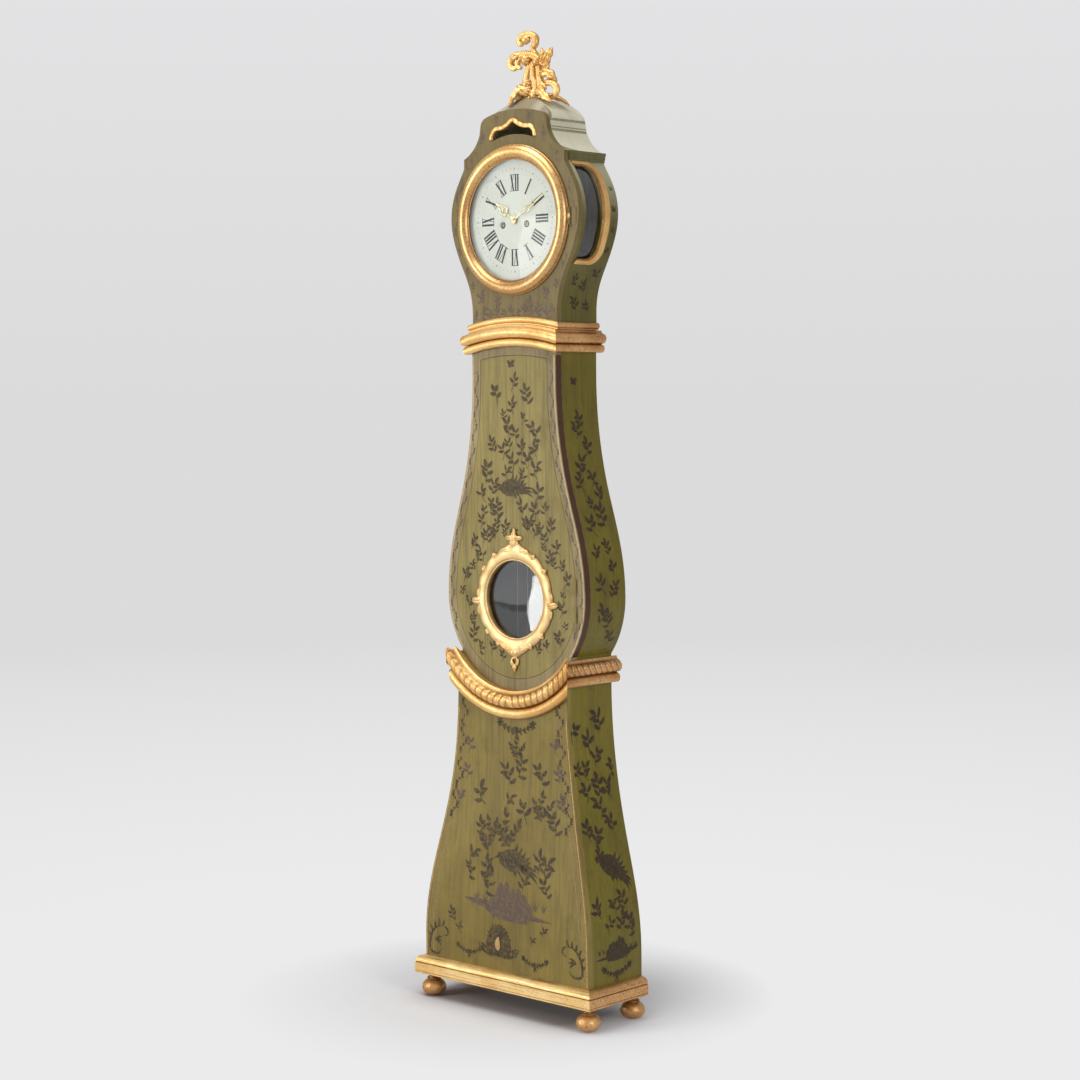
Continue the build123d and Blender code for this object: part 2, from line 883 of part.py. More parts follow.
# ---------------------------------------------------------------- hood
def aperture_face(grow):
    """Cusped ogee opening over the dial, with a lower edge struck from the dial's centre."""
    half = aperture_half + grow
    foot_z = dial_z + math.sqrt(aperture_radius**2 - half**2)
    shoulder = (aperture_shoulder_x + grow * 0.7, aperture_shoulder_z + grow * 0.7)
    apex = (0, aperture_apex_z + grow * 1.1)
    side = ThreePointArc(
        (half, foot_z), (half - 4, (foot_z + shoulder[1]) / 2 + 5), shoulder
    )
    dip = ThreePointArc(
        shoulder, (shoulder[0] * 0.44, shoulder[1] + 7), apex
    )
    bottom = ThreePointArc((half, foot_z), (0, dial_z + aperture_radius), (-half, foot_z))
    return closed_outline([side, dip], bottom=bottom)


def hood_front_board():
    low_half = hood_neck_half
    _, arc = arch_over(low_half, hood_low_radius)
    start_z = arch_z + math.sqrt(hood_low_radius**2 - low_half**2)
    pediment = cap_edges(0, 0, pediment_top_z, pediment_round)
    outline = closed_outline([*hood_edges(0, start_z), *pediment], bottom=arc)
    outline -= Pos(0, dial_z) * Circle(dial_hole_in_board)
    outline -= aperture_face(0)
    return slab(outline, hood_back, hood_depth)


def light_face(back_grow, front_grow, height_grow):
    """Side light seen from the side: square at the front, round at its back corners."""
    back = light_back - back_grow
    front = light_front + front_grow
    low = light_low_z - height_grow
    high = light_high_z + height_grow
    face = Pos((back + front) / 2, (low + high) / 2) * Rectangle(front - back, high - low)
    corner = light_corner + min(back_grow, height_grow)
    rounded = [vertex for vertex in face.vertices() if vertex.X < (back + front) / 2]
    return fillet(rounded, corner)


def hood_wall(outer_inset, inner_inset, low_z):
    """Right-hand shell between two insets of the hood's outline."""
    outer = closed_outline(hood_edges(outer_inset, low_z))
    inner = closed_outline(hood_edges(inner_inset, low_z))
    walls = slab(outer - inner, 0, hood_back)
    return walls & block(0, hood_wide_half * 2, 0, hood_back, low_z, cornice_z)


def hood_wall_side():
    """Side of the hood, which stands on the trunk's side and holds the side light."""
    light = side_slab(light_face(0, 0, 0), 0, hood_wide_half * 2)
    under = rod(0, arch_z, neck_top_radius + running_fit, 0, hood_depth)
    return hood_wall(0, hood_side, neck_top_z) - light - under


def side_light_glass():
    """Bent pane that lies in the thickness of the hood's side."""
    near = hood_side / 2
    pane = hood_wall(near, near + light_glass_thickness, hood_low_z)
    return pane & side_slab(light_face(0, 0, 0), 0, hood_wide_half * 2)


def side_light_frame():
    """Gilt loop round the side light, broad at the back and narrow at the front."""
    loop = hood_wall(-light_relief, 0, hood_low_z)
    outer = side_slab(
        light_face(light_band_back, light_band_front, light_band_top), 0, hood_wide_half * 2
    )
    opening = side_slab(light_face(0, 0, 0), 0, hood_wide_half * 2)
    return (loop & outer) - opening


def hood_roof():
    shell = cap_body(0, 0) - cap_body(hood_side, roof_board)
    above = block(-cornice_half, cornice_half, 0, roof_board, cap_foot_z, cap_top_z)
    end_board = slab(closed_outline(cap_edges(hood_side, roof_board)), 0, roof_board) & above
    return [*shell.solids(), *end_board.solids()]


def hood_cornice():
    third = cornice_height / 3
    out = cornice_projection
    points = [
        (cornice_half, cornice_z),
        (cornice_half + out * 0.45, cornice_z),
        (cornice_half + out * 0.45, cornice_z + third * 0.8),
        (cornice_half + out * 0.7, cornice_z + third),
        (cornice_half + out * 0.7, cornice_z + third * 1.9),
        (cornice_half + out, cornice_z + third * 2.2),
        (cornice_half + out, cap_foot_z),
        (cornice_half, cap_foot_z),
    ]
    return slab(make_face(Polyline(points, close=True)), 0, hood_back)


def hood_base_bead():
    height = hood_bead_height
    out = hood_bead_projection
    profile = [(0, 0), (0, out), (height * 0.35, out)]
    for step in range(1, 6):
        turn = math.radians(90 * step / 5)
        profile.append((height * (0.35 + 0.5 * math.sin(turn)), out * (0.25 + 0.75 * math.cos(turn))))
    profile += [(height, out * 0.2), (height, 0)]
    reach = out + 1
    high = hood_low_z + neck_rise + height + 1
    turned = ring_about(
        0, arch_z, [(hood_low_radius + rise, hood_depth + away) for rise, away in profile]
    )
    front = turned & mitre_front(hood_neck_half, hood_depth, reach, hood_low_z - board, high)
    side = straight_moulding(profile, hood_neck_half, hood_low_z, 0, hood_depth + reach)
    side &= mitre_side(hood_neck_half, hood_depth, reach, 0, 0, high)
    return [*front.solids(), *both_sides(side)]


def aperture_moulding():
    """Gilt bead over the aperture, left off along its lower edge."""
    band = aperture_face(aperture_border) - aperture_face(0)
    band -= Pos(0, dial_z) * Circle(aperture_radius + 2)
    return slab(band, hood_depth, hood_depth + aperture_relief)


def scroll(points, widths):
    """A carved strand: a smooth line of (X, rise) points with a width at each end."""
    line = Spline(*points)
    count = 10
    left = []
    right = []
    for step in range(count + 1):
        share = step / count
        centre = line @ share
        along = line % share
        width = widths[0] * (1 - share) + widths[1] * share
        left.append((centre.X - along.Y * width / 2, centre.Y + along.X * width / 2))
        right.append((centre.X + along.Y * width / 2, centre.Y - along.X * width / 2))
    return make_face(Polyline([*left, *reversed(right)], close=True))


# Strands of the cresting, as shares of its half width, of its rise over the ridge and of half
# its thickness: points (X, Z), widths at both ends, and the reach backwards and forwards.
cresting_strands = (
    ([(0, -0.19), (-0.06, 0.19), (0.04, 0.49), (-0.12, 0.70)], (0.34, 0.20), (-1.0, 1.0)),
    (
        [(-0.12, 0.60), (-0.40, 0.70), (-0.74, 0.57), (-0.70, 0.41), (-0.54, 0.39)],
        (0.26, 0.14),
        (-0.85, 0.85),
    ),
    ([(-0.16, 0.62), (-0.02, 0.78), (0.20, 0.84), (0.36, 0.76)], (0.22, 0.12), (-0.85, 0.85)),
    ([(-0.24, 0.74), (-0.36, 0.88), (-0.14, 0.95), (0.08, 0.91)], (0.20, 0.12), (-0.75, 0.75)),
    ([(0.06, 0.38), (0.26, 0.57), (0.50, 0.68), (0.68, 0.61)], (0.26, 0.14), (-0.9, 0.9)),
    ([(0.02, 0.16), (0.36, 0.36), (0.66, 0.36), (0.78, 0.24)], (0.30, 0.16), (-0.9, 0.9)),
    ([(0.04, -0.02), (-0.36, 0.02), (-0.68, -0.03), (-0.86, -0.14)], (0.34, 0.18), (-0.4, 2.4)),
    ([(-0.04, -0.01), (0.46, 0.04), (0.84, -0.02), (1.02, -0.16)], (0.34, 0.18), (-2.8, 0.5)),
)


def cresting():
    """Carved rocaille cresting that straddles the ridge of the hood."""
    whole = None
    deep = cresting_thickness / 2
    for points, widths, (back, front) in cresting_strands:
        placed = [(x * cresting_half, cap_top_z + z * cresting_rise) for x, z in points]
        face = scroll(placed, [width * cresting_half for width in widths])
        strand = slab(face, cresting_depth + back * deep, cresting_depth + front * deep)
        whole = strand if whole is None else whole + strand
    cap = cap_body(0, 0) + slab(pediment_outline(0, 0), hood_back, hood_depth)
    room = block(
        -hood_wide_half,
        hood_wide_half,
        0,
        hood_depth,
        cap_top_z - cresting_root,
        cap_top_z + cresting_rise,
    )
    return (whole - cap) & room


# ---------------------------------------------------------------- bezel
def bezel_ring():
    near = hood_depth + bezel_gap
    width = bezel_outer - bezel_inner
    glass_near = near + 3.0
    seat = glass_near + bezel_glass_thickness
    points = [(bezel_outer, near), (bezel_outer, near + 4)]
    for step in range(0, 13):
        turn = math.radians(180 * step / 12)
        radius = bezel_inner + width * (0.52 + 0.42 * math.cos(turn))
        points.append((radius, near + 5 + (bezel_height - 5) * math.sin(turn)))
    points += [
        (bezel_inner, near + 6),
        (bezel_inner, seat),
        (bezel_glass_radius, seat),
        (bezel_glass_radius, near),
    ]
    return ring_about(0, dial_z, points)


def bezel_glass():
    near = hood_depth + bezel_gap + 3.0
    return rod(0, dial_z, bezel_glass_radius, near, near + bezel_glass_thickness)


def bezel_hinge_axis():
    return bezel_outer + bezel_hinge_radius + 0.5, hood_depth + bezel_gap + bezel_hinge_radius


def hinged_bezel():
    """Bezel with its hinge knuckle, and the plate, end knuckles and pin fixed to the hood."""
    x, depth = bezel_hinge_axis()
    length = bezel_hinge_length
    low = dial_z - length / 2
    third = length / 3
    radius = bezel_hinge_radius
    middle = hinge_knuckles(x, depth, radius, low, length, True)[0]
    tongue = block(
        bezel_outer - 3, x, depth - 1.2, depth + 1.2, low + third + 0.2, low + 2 * third - 0.2
    )
    bore = upright(x, depth, bezel_hinge_pin + running_fit, low - 1, low + length + 1)
    swinging = (bezel_ring() + tongue + middle) - bore
    plate = block(x + 5, x + 20, hood_depth, hood_depth + 1.5, low, low + length)
    plate += block(x, x + 6, hood_depth, hood_depth + 1.5, low, low + third - 0.2)
    plate += block(x, x + 6, hood_depth, hood_depth + 1.5, low + 2 * third + 0.2, low + length)
    for knuckle in hinge_knuckles(x, depth, radius, low, length, False):
        plate += knuckle
    plate += upright(x, depth, bezel_hinge_pin, low, low + length)
    return swinging, plate


# ---------------------------------------------------------------- movement
def polar(centre, angle, distance):
    turn = math.radians(angle)
    return centre[0] + distance * math.cos(turn), centre[1] + distance * math.sin(turn)


def gear_face(centre, teeth, module, tooth_at, spokes=0):
    """Face of a wheel with a tooth pointing at a given angle, crossed out if it has spokes."""
    radius = teeth * module / 2
    tip = radius + 0.85 * module
    root = radius - 1.1 * module
    pitch = 360 / teeth
    points = []
    for index in range(teeth):
        middle = tooth_at + index * pitch
        for away, share in ((root, -0.25), (tip, -0.09), (tip, 0.09), (root, 0.25)):
            points.append(polar(centre, middle + share * pitch, away))
    face = make_face(Polyline(points, close=True))
    if spokes:
        rim = root - 3.0
        hub = 0.3 * root
        window = Pos(*centre) * (Circle(rim) - Circle(hub))
        for index in range(spokes):
            bar = Rot(0, 0, index * 360 / spokes) * Pos(rim / 2, 0) * Rectangle(rim, 0.16 * root)
            window -= Pos(*centre) * bar
        face -= window
    return face


def gap_angle(teeth, towards):
    """Angle of a tooth that leaves a gap pointing in a given direction."""
    return towards + 180 / teeth


def arbor(centre, near_plate=None, radius=arbor_radius):
    """Arbor between the plates, with a pivot in each."""
    between_near = back_plate_depth + plate_thickness
    bar = rod(*centre, radius, between_near + 0.5, front_plate_depth - 0.5)
    return bar + rod(*centre, pivot_radius, back_plate_depth, front_plate_depth + plate_thickness)


centre_at = (0, dial_z)
going_at = (winding_x, winding_z)
strike_at = (-winding_x, winding_z)
winding_distance = math.hypot(winding_x, winding_drop)
great_module = 2 * winding_distance / (great_teeth + pinion_leaves)
third_at = polar(centre_at, third_angle, fine_module * (centre_teeth + pinion_leaves) / 2)
escape_at = polar(third_at, escape_angle, escape_module * (third_teeth + pinion_leaves) / 2)
pin_at = polar(strike_at, pin_wheel_angle, fine_module * (strike_great_teeth + pinion_leaves) / 2)
minute_at = polar(centre_at, motion_angle, motion_module * motion_teeth)
hour_module = 2 * motion_module * motion_teeth / (hour_teeth + minute_pinion_leaves)
great_near = back_plate_depth + plate_thickness + 7
centre_near = front_plate_depth - 8
third_near = centre_near - 12
escape_near = third_near - 8
motion_near = front_plate_depth + plate_thickness + 3
hour_near = motion_near + 4
hammer_at = (-68, 2090)
hand_thickness = 1.0
hour_hand_depth = dial_face_depth + 2.5
minute_hand_depth = hour_hand_depth + 2.5


def plate(near, holes):
    face = Pos(0, (plate_low_z + plate_high_z) / 2) * Rectangle(
        2 * plate_half, plate_high_z - plate_low_z
    )
    for centre, radius in holes:
        face -= Pos(*centre) * Circle(radius)
    return slab(face, near, near + plate_thickness)


def pivot_holes():
    fine = pivot_radius + running_fit
    return [(centre, fine) for centre in (third_at, escape_at, pin_at, hammer_at)]


def back_plate():
    holes = [(at, winding_radius + running_fit) for at in (going_at, strike_at)]
    holes += [(centre_at, pivot_radius + running_fit), ((0, pallet_z), arbor_radius + running_fit)]
    return plate(back_plate_depth, pivot_holes() + holes)


def front_plate():
    holes = [(at, winding_radius + running_fit) for at in (going_at, strike_at)]
    holes += [(centre_at, centre_arbor_radius + running_fit)]
    holes += [((0, pallet_z), pivot_radius + running_fit)]
    return plate(front_plate_depth, pivot_holes() + holes)


def plate_pillars():
    near = back_plate_depth + plate_thickness
    low_x = plate_half - pillar_inset
    places = [(side * low_x, plate_low_z + pillar_low_rise) for side in (-1, 1)]
    places += [(side * pillar_top_x, plate_high_z - pillar_top_drop) for side in (-1, 1)]
    return [rod(x, z, pillar_radius, near, front_plate_depth) for x, z in places]


def great_wheel(centre, teeth, tooth_at, module):
    wheel = slab(gear_face(centre, teeth, module, tooth_at, 4), great_near, great_near + 3)
    return wheel - rod(*centre, winding_radius + running_fit, 0, hood_depth)


def barrel(centre):
    near = great_near + 3 + 1
    body = rod(*centre, barrel_flange, near, near + 2)
    body += rod(*centre, barrel_radius, near, near + barrel_length)
    body += rod(*centre, barrel_flange, near + barrel_length - 2, near + barrel_length)
    body += rod(*centre, winding_radius, back_plate_depth - 2, front_plate_depth + 8)
    square = winding_radius * 1.3
    face = Pos(*centre) * Rectangle(square, square)
    return body + slab(face, front_plate_depth + 8, dial_face_depth - 1)


def pinion(centre, tooth_at, near, module=fine_module, leaves=pinion_leaves, length=leaf_length):
    return slab(gear_face(centre, leaves, module, tooth_at), near, near + length)


def angle_of(start, end):
    return math.degrees(math.atan2(end[1] - start[1], end[0] - start[0]))


def centre_wheel():
    """Centre arbor with its pinion, wheel, cannon wheel and the hand's seat."""
    body = arbor(centre_at)
    to_great = angle_of(centre_at, going_at)
    leaves = gap_angle(pinion_leaves, to_great)
    body += pinion(centre_at, leaves, great_near - 3, great_module)
    wheel = gear_face(centre_at, centre_teeth, fine_module, angle_of(centre_at, third_at), 4)
    body += slab(wheel, centre_near, centre_near + wheel_thickness)
    body += rod(*centre_at, centre_arbor_radius, centre_near, minute_hand_depth)
    cannon = gear_face(centre_at, motion_teeth, motion_module, motion_angle)
    return body + slab(cannon, motion_near, motion_near + wheel_thickness)


def minute_wheel():
    """Wheel and pinion of the motion work, on a stud in the front plate."""
    back = motion_angle + 180
    wheel = gear_face(minute_at, motion_teeth, motion_module, gap_angle(motion_teeth, back))
    body = slab(wheel, motion_near, motion_near + wheel_thickness)
    body += pinion(minute_at, back, motion_near, hour_module, minute_pinion_leaves)
    return body - rod(*minute_at, motion_stud_radius + running_fit, 0, hood_depth)


def hour_wheel():
    tooth = gap_angle(hour_teeth, motion_angle)
    wheel = gear_face(centre_at, hour_teeth, hour_module, tooth)
    body = slab(wheel, hour_near, hour_near + wheel_thickness)
    body += rod(*centre_at, hour_pipe_radius, hour_near, hour_hand_depth)
    return body - rod(*centre_at, centre_arbor_radius + running_fit, 0, hood_depth)


def minute_stud():
    near = front_plate_depth + plate_thickness
    return rod(*minute_at, motion_stud_radius, near, hour_near + 8)


def third_wheel():
    body = arbor(third_at)
    leaves = gap_angle(pinion_leaves, angle_of(third_at, centre_at))
    body += pinion(third_at, leaves, centre_near - 4)
    wheel = gear_face(third_at, third_teeth, escape_module, angle_of(third_at, escape_at), 4)
    return body + slab(wheel, third_near, third_near + wheel_thickness)


def escape_wheel():
    body = arbor(escape_at)
    leaves = gap_angle(pinion_leaves, angle_of(escape_at, third_at))
    body += pinion(escape_at, leaves, third_near - 3, escape_module)
    points = []
    for index in range(escape_teeth):
        turn = 360 / escape_teeth * index
        points.append(polar(escape_at, turn, escape_radius))
        points.append(polar(escape_at, turn + 4, escape_radius * 0.84))
        points.append(polar(escape_at, turn + 9, escape_radius * 0.84))
    wheel = make_face(Polyline(points, close=True))
    window = Circle(escape_radius * 0.7) - Circle(escape_radius * 0.25)
    for index in range(4):
        window -= Rot(0, 0, 45 + 90 * index) * Pos(escape_radius / 2, 0) * Rectangle(escape_radius, 2)
    wheel -= Pos(*escape_at) * window
    return body + slab(wheel, escape_near, escape_near + 1.5)


def anchor():
    """Pallets, their arbor and the crutch that embraces the pendulum rod."""
    reach = escape_radius + pallet_clearance
    arc = Pos(*escape_at) * (Circle(reach + 4) - Circle(reach))
    arc &= Pos(escape_at[0], escape_at[1] + reach) * Rectangle(2 * reach * 0.78, reach * 0.75)
    hub_at = (0, pallet_z)
    arm = Pos(0, (pallet_z + escape_at[1] + reach + 2) / 2) * Rectangle(
        7, abs(pallet_z - escape_at[1] - reach)
    )
    body = slab(arc + arm, escape_near - 1, escape_near + 3)
    body += rod(*hub_at, arbor_radius * 1.8, escape_near - 3, escape_near + 5)
    crutch_near = back_plate_depth - 8
    body += rod(*hub_at, arbor_radius, crutch_near, front_plate_depth - 0.5)
    body += rod(*hub_at, pivot_radius, crutch_near, front_plate_depth + plate_thickness)
    fork_z = pallet_z - 110
    body += block(-3, 3, crutch_near, crutch_near + 3, fork_z - 6, pallet_z)
    slot = rod_width / 2 + 0.1
    near = pendulum_depth - rod_thickness / 2 - 1
    for side in (-1, 1):
        inner, outer = sorted((side * slot, side * (slot + 3)))
        body += block(inner, outer, near, crutch_near + 3, fork_z - 6, fork_z + 6)
    return body + block(-slot - 3, slot + 3, crutch_near, crutch_near + 3, fork_z - 6, fork_z + 6)


def pendulum_cock():
    """Bracket behind the back plate that carries the pendulum."""
    near = pendulum_depth - 10
    body = block(-34, 34, near, near + 4, pallet_z - 8, pallet_z + 14)
    for side in (-1, 1):
        inner, outer = sorted((side * 24, side * 34))
        body += block(inner, outer, near, back_plate_depth, pallet_z - 8, pallet_z + 14)
    return body + rod(0, pallet_z, pivot_radius, near, pendulum_depth + 3)


def pendulum_rod():
    near = pendulum_depth - rod_thickness / 2
    far = near + rod_thickness
    bob_z = pallet_z - pendulum_length
    flat_low = bob_z - bob_radius
    body = block(-rod_width / 2, rod_width / 2, near, far, flat_low, pallet_z)
    body += rod(0, pallet_z, rod_width / 2, near, far)
    body += upright(0, pendulum_depth, screw_radius, flat_low - 28, flat_low)
    return body - rod(0, pallet_z, pivot_radius + running_fit, 0, hood_depth)


def pendulum_bob():
    """Lens-shaped bob on the rod, and the rating nut under it."""
    bob_z = pallet_z - pendulum_length
    rim = 3.0
    half = bob_thickness / 2
    points = []
    for step in range(0, 9):
        share = step / 8
        points.append((bob_radius * share, half - (half - rim) * share**2))
    profile = [(r, pendulum_depth + away) for r, away in points]
    profile += [(r, pendulum_depth - away) for r, away in reversed(points)]
    bob = ring_about(0, bob_z, profile)
    near = pendulum_depth - rod_thickness / 2
    slot = block(
        -rod_width / 2, rod_width / 2, near, near + rod_thickness, bob_z - bob_radius, bob_z + bob_radius
    )
    nut_top = bob_z - bob_radius
    nut = upright(0, pendulum_depth, 9, nut_top - 9, nut_top)
    nut -= upright(0, pendulum_depth, screw_radius, nut_top - 10, nut_top + 1)
    return [*(bob - slot).solids(), *nut.solids()]


def pin_wheel():
    body = arbor(pin_at)
    leaves = gap_angle(pinion_leaves, angle_of(pin_at, strike_at))
    body += pinion(pin_at, leaves, great_near - 3)
    wheel = gear_face(pin_at, pin_teeth, fine_module, 0, 4)
    body += slab(wheel, centre_near, centre_near + wheel_thickness)
    for index in range(8):
        place = polar(pin_at, 45 * (index + 0.5), pin_teeth * fine_module / 2 - 3)
        body += rod(*place, 1.0, centre_near - 3.5, centre_near)
    return body


def hammer():
    """Bell hammer on its arbor, standing clear of the bell's rim."""
    body = arbor(hammer_at)
    near = great_near + 3
    head_x = -(bell_radius + hammer_head + hammer_rest)
    head_z = bell_z + 6
    along = angle_of(hammer_at, (head_x, head_z))
    length = math.hypot(head_x - hammer_at[0], head_z - hammer_at[1])
    bar = Pos(*hammer_at) * Rot(0, 0, along) * Pos(length / 2, 0) * Rectangle(length, 3)
    body += slab(bar, near, near + 3)
    body += rod(head_x, head_z, hammer_head, near - 4, near + 7)
    tail = Pos(*hammer_at) * Rot(0, 0, -75) * Pos(hammer_tail / 2, 0) * Rectangle(hammer_tail, 3)
    return body + slab(tail, centre_near - 3.5, centre_near - 1)


def bell():
    """Bell, and the stand that holds it over the plates."""
    depth = (back_plate_depth + front_plate_depth) / 2
    outer = []
    inner = []
    for step in range(0, 9):
        turn = math.radians(90 * step / 8)
        outer.append((bell_radius * math.cos(turn), bell_z + bell_height * math.sin(turn)))
        inner.append(
            (
                (bell_radius - bell_wall) * math.cos(turn),
                bell_z + (bell_height - bell_wall) * math.sin(turn),
            )
        )
    points = [(r, y_at(depth), z) for r, z in (*outer, *reversed(inner))]
    dome = revolve(make_face(Polyline(points, close=True)), Axis((0, y_at(depth), 0), (0, 0, 1)), 360)
    top = bell_z + bell_height
    dome -= upright(0, depth, 3, bell_z, top + 5)
    near = back_plate_depth + plate_thickness
    stand = block(-6, 6, near, near + 4, plate_high_z - 12, plate_high_z + 3)
    stand += block(-6, 6, near, depth + 4, plate_high_z + 1, plate_high_z + 4)
    stand += upright(0, depth, 3, plate_high_z + 1, top + 1)
    stand += upright(0, depth, 6, top, top + 5)
    return [*dome.solids(), *stand.solids()]


def dial():
    face = Pos(0, dial_z) * Circle(dial_radius)
    face -= Pos(0, dial_z) * Circle(hour_pipe_radius + 1.5)
    for x, z in (going_at, strike_at):
        face -= Pos(x, z) * Circle(winding_radius + 2)
    body = slab(face, dial_face_depth - dial_thickness, dial_face_depth)
    near = front_plate_depth + plate_thickness
    foot_x = plate_half - dial_foot_inset
    for side in (-1, 1):
        for z in (plate_low_z + dial_foot_low_rise, plate_high_z - dial_foot_top_drop):
            body += rod(side * foot_x, z, dial_foot_radius, near, dial_face_depth - 1)
    return body


def hand_bar(angle, start, end, width):
    """A straight bar from one radius to another at a clock angle, as a face."""
    bar = Pos((start + end) / 2, 0) * Rectangle(end - start, width)
    return Pos(*centre_at) * Rot(0, 0, 90 - angle) * bar


def hand_ring(angle, distance, outer, inner):
    place = Pos(*centre_at) * Rot(0, 0, 90 - angle) * Pos(distance, 0)
    return place * (Circle(outer) - Circle(inner))


minute_hand_length = 128.0
hour_hand_length = 86.0


def minute_hand():
    at = minute_angle
    face = Pos(*centre_at) * Circle(9)
    face += hand_bar(at, 0, minute_hand_length, 3.2)
    face += hand_ring(at, minute_hand_length * 0.42, 9, 5.5)
    face += hand_ring(at, minute_hand_length * 0.60, 6, 3)
    body = slab(face, minute_hand_depth, minute_hand_depth + hand_thickness)
    return body


def hour_hand():
    at = hour_angle
    face = Pos(*centre_at) * Circle(11)
    face += hand_bar(at, 0, hour_hand_length, 3.6)
    face += hand_ring(at, hour_hand_length * 0.48, 11, 7)
    face += hand_ring(at, hour_hand_length * 0.72, 7, 3.5)
    face -= Pos(*centre_at) * Circle(centre_arbor_radius + 0.6)
    return slab(face, hour_hand_depth, hour_hand_depth + hand_thickness)


# ---------------------------------------------------------------- weights
def pulley_z():
    return weight_low_z + weight_height + 42


def weight(train):
    """Cased weight with the stirrup that holds its pulley."""
    _, x = line_places()[train]
    top = weight_low_z + weight_height
    body = upright(x, line_depth, weight_radius, weight_low_z, top)
    body += upright(x, line_depth, 3, top, top + 16)
    half = pulley_thickness / 2 + 0.6
    hang = pulley_z()
    for side in (-1, 1):
        near, far = sorted((line_depth + side * half, line_depth + side * (half + 2)))
        body += block(x - 5, x + 5, near, far, top + 12, hang + 6)
    body += block(x - 5, x + 5, line_depth - half - 2, line_depth + half + 2, top + 12, top + 15)
    return body + rod(x, hang, 2, line_depth - half, line_depth + half)


def pulley(train):
    _, x = line_places()[train]
    half = pulley_thickness / 2
    groove = pulley_radius - line_radius - line_gap
    rim = pulley_radius + 2
    points = [
        (2 + running_fit, line_depth - half),
        (rim, line_depth - half),
        (groove, line_depth - 1.5),
        (groove, line_depth + 1.5),
        (rim, line_depth + half),
        (2 + running_fit, line_depth + half),
    ]
    return ring_about(x, pulley_z(), points)


def weight_line(train):
    """The two falls of a weight's line, from under the seat board down to its pulley."""
    barrel_line, x = line_places()[train]
    falls = []
    for place in (barrel_line, 2 * x - barrel_line):
        falls += upright(place, line_depth, line_radius, pulley_z(), seat_low_z).solids()
    return falls


def line_leads():
    """Short ends of both lines above the seat board: up to the barrel, or tied in a knot."""
    ends = []
    for train, centre in (("going", going_at), ("strike", strike_at)):
        barrel_line, x = line_places()[train]
        ends += upright(barrel_line, line_depth, line_radius, seat_low_z, winding_z).solids()
        tied = 2 * x - barrel_line
        end = upright(tied, line_depth, line_radius, seat_low_z, seat_top_z + 2)
        end += upright(tied, line_depth, line_radius * 7, seat_top_z, seat_top_z + 8)
        ends += end.solids()
    return ends


# ---------------------------------------------------------------- write every node
save("bun_feet", *bun_feet())
save("plinth_moulding", *plinth_moulding())
save("bottom_board", bottom_board())
save("base_front_panel", base_front_panel())
save("base_sides", *both_sides(base_side()))
save("waist_moulding", *waist_moulding())
save("trunk_sides", *both_sides(trunk_side()))
save("trunk_front_frame", trunk_front_frame())
save("backboard", backboard())
save("neck_moulding", *neck_moulding())
save("seat_board", seat_board())
save("seat_cheeks", *both_sides(seat_cheek()))

door_leaves, frame_leaves = door_hinge_set()
save("frame_hinges", *frame_leaves)
save("door_hinges", *door_leaves)
save("door_panel", door_panel())
save("window_frame", *window_frame())
glass_far = window_glass_depth + window_glass_thickness
save("window_glass", rod(0, window_z, window_hole, window_glass_depth, glass_far))
save("door_lock", door_lock())
save("lock_bolt", lock_bolt())

save("hood_front_board", hood_front_board())
save("hood_sides", *both_sides(hood_wall_side()))
save("side_light_glass", *both_sides(side_light_glass()))
save("side_light_frames", *both_sides(side_light_frame()))
save("hood_roof", *hood_roof())
save("hood_cornices", *both_sides(hood_cornice()))
save("hood_base_bead", *hood_base_bead())
save("aperture_moulding", aperture_moulding())
save("cresting", cresting())

bezel, hood_leaf = hinged_bezel()
save("bezel_ring", bezel)
save("bezel_glass", bezel_glass())
save("hood_hinge_plate", hood_leaf)

save("back_plate", back_plate())
save("front_plate", front_plate())
save("plate_pillars", *plate_pillars(), minute_stud())
save("dial", dial())
save("bell", *bell())
save("pendulum_cock", pendulum_cock())
save("centre_wheel", centre_wheel())
save("minute_wheel", minute_wheel())
save("hour_wheel", hour_wheel())
save("third_wheel", third_wheel())
save("escape_wheel", escape_wheel())
save("anchor", anchor())
to_centre = angle_of(going_at, centre_at)
save("going_great_wheel", great_wheel(going_at, great_teeth, to_centre, great_module))
save("strike_great_wheel", great_wheel(strike_at, strike_great_teeth, pin_wheel_angle, fine_module))
save("pin_wheel", pin_wheel())
save("hammer", hammer())
save("going_barrel", barrel(going_at))
save("strike_barrel", barrel(strike_at))
save("minute_hand", minute_hand())
save("hour_hand", hour_hand())
save("pendulum_rod", pendulum_rod())
save("pendulum_bob", *pendulum_bob())
save("line_leads", *line_leads())
for train in ("going", "strike"):
    save(f"{train}_weight", weight(train))
    save(f"{train}_pulley", pulley(train))
    save(f"{train}_line", *weight_line(train))
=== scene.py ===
import logging
import math
from dataclasses import dataclass, field
from enum import Enum
from typing import Callable, Sequence

import bmesh
import bpy
import numpy as np
from mathutils import Matrix, Vector
from mathutils.bvhtree import BVHTree

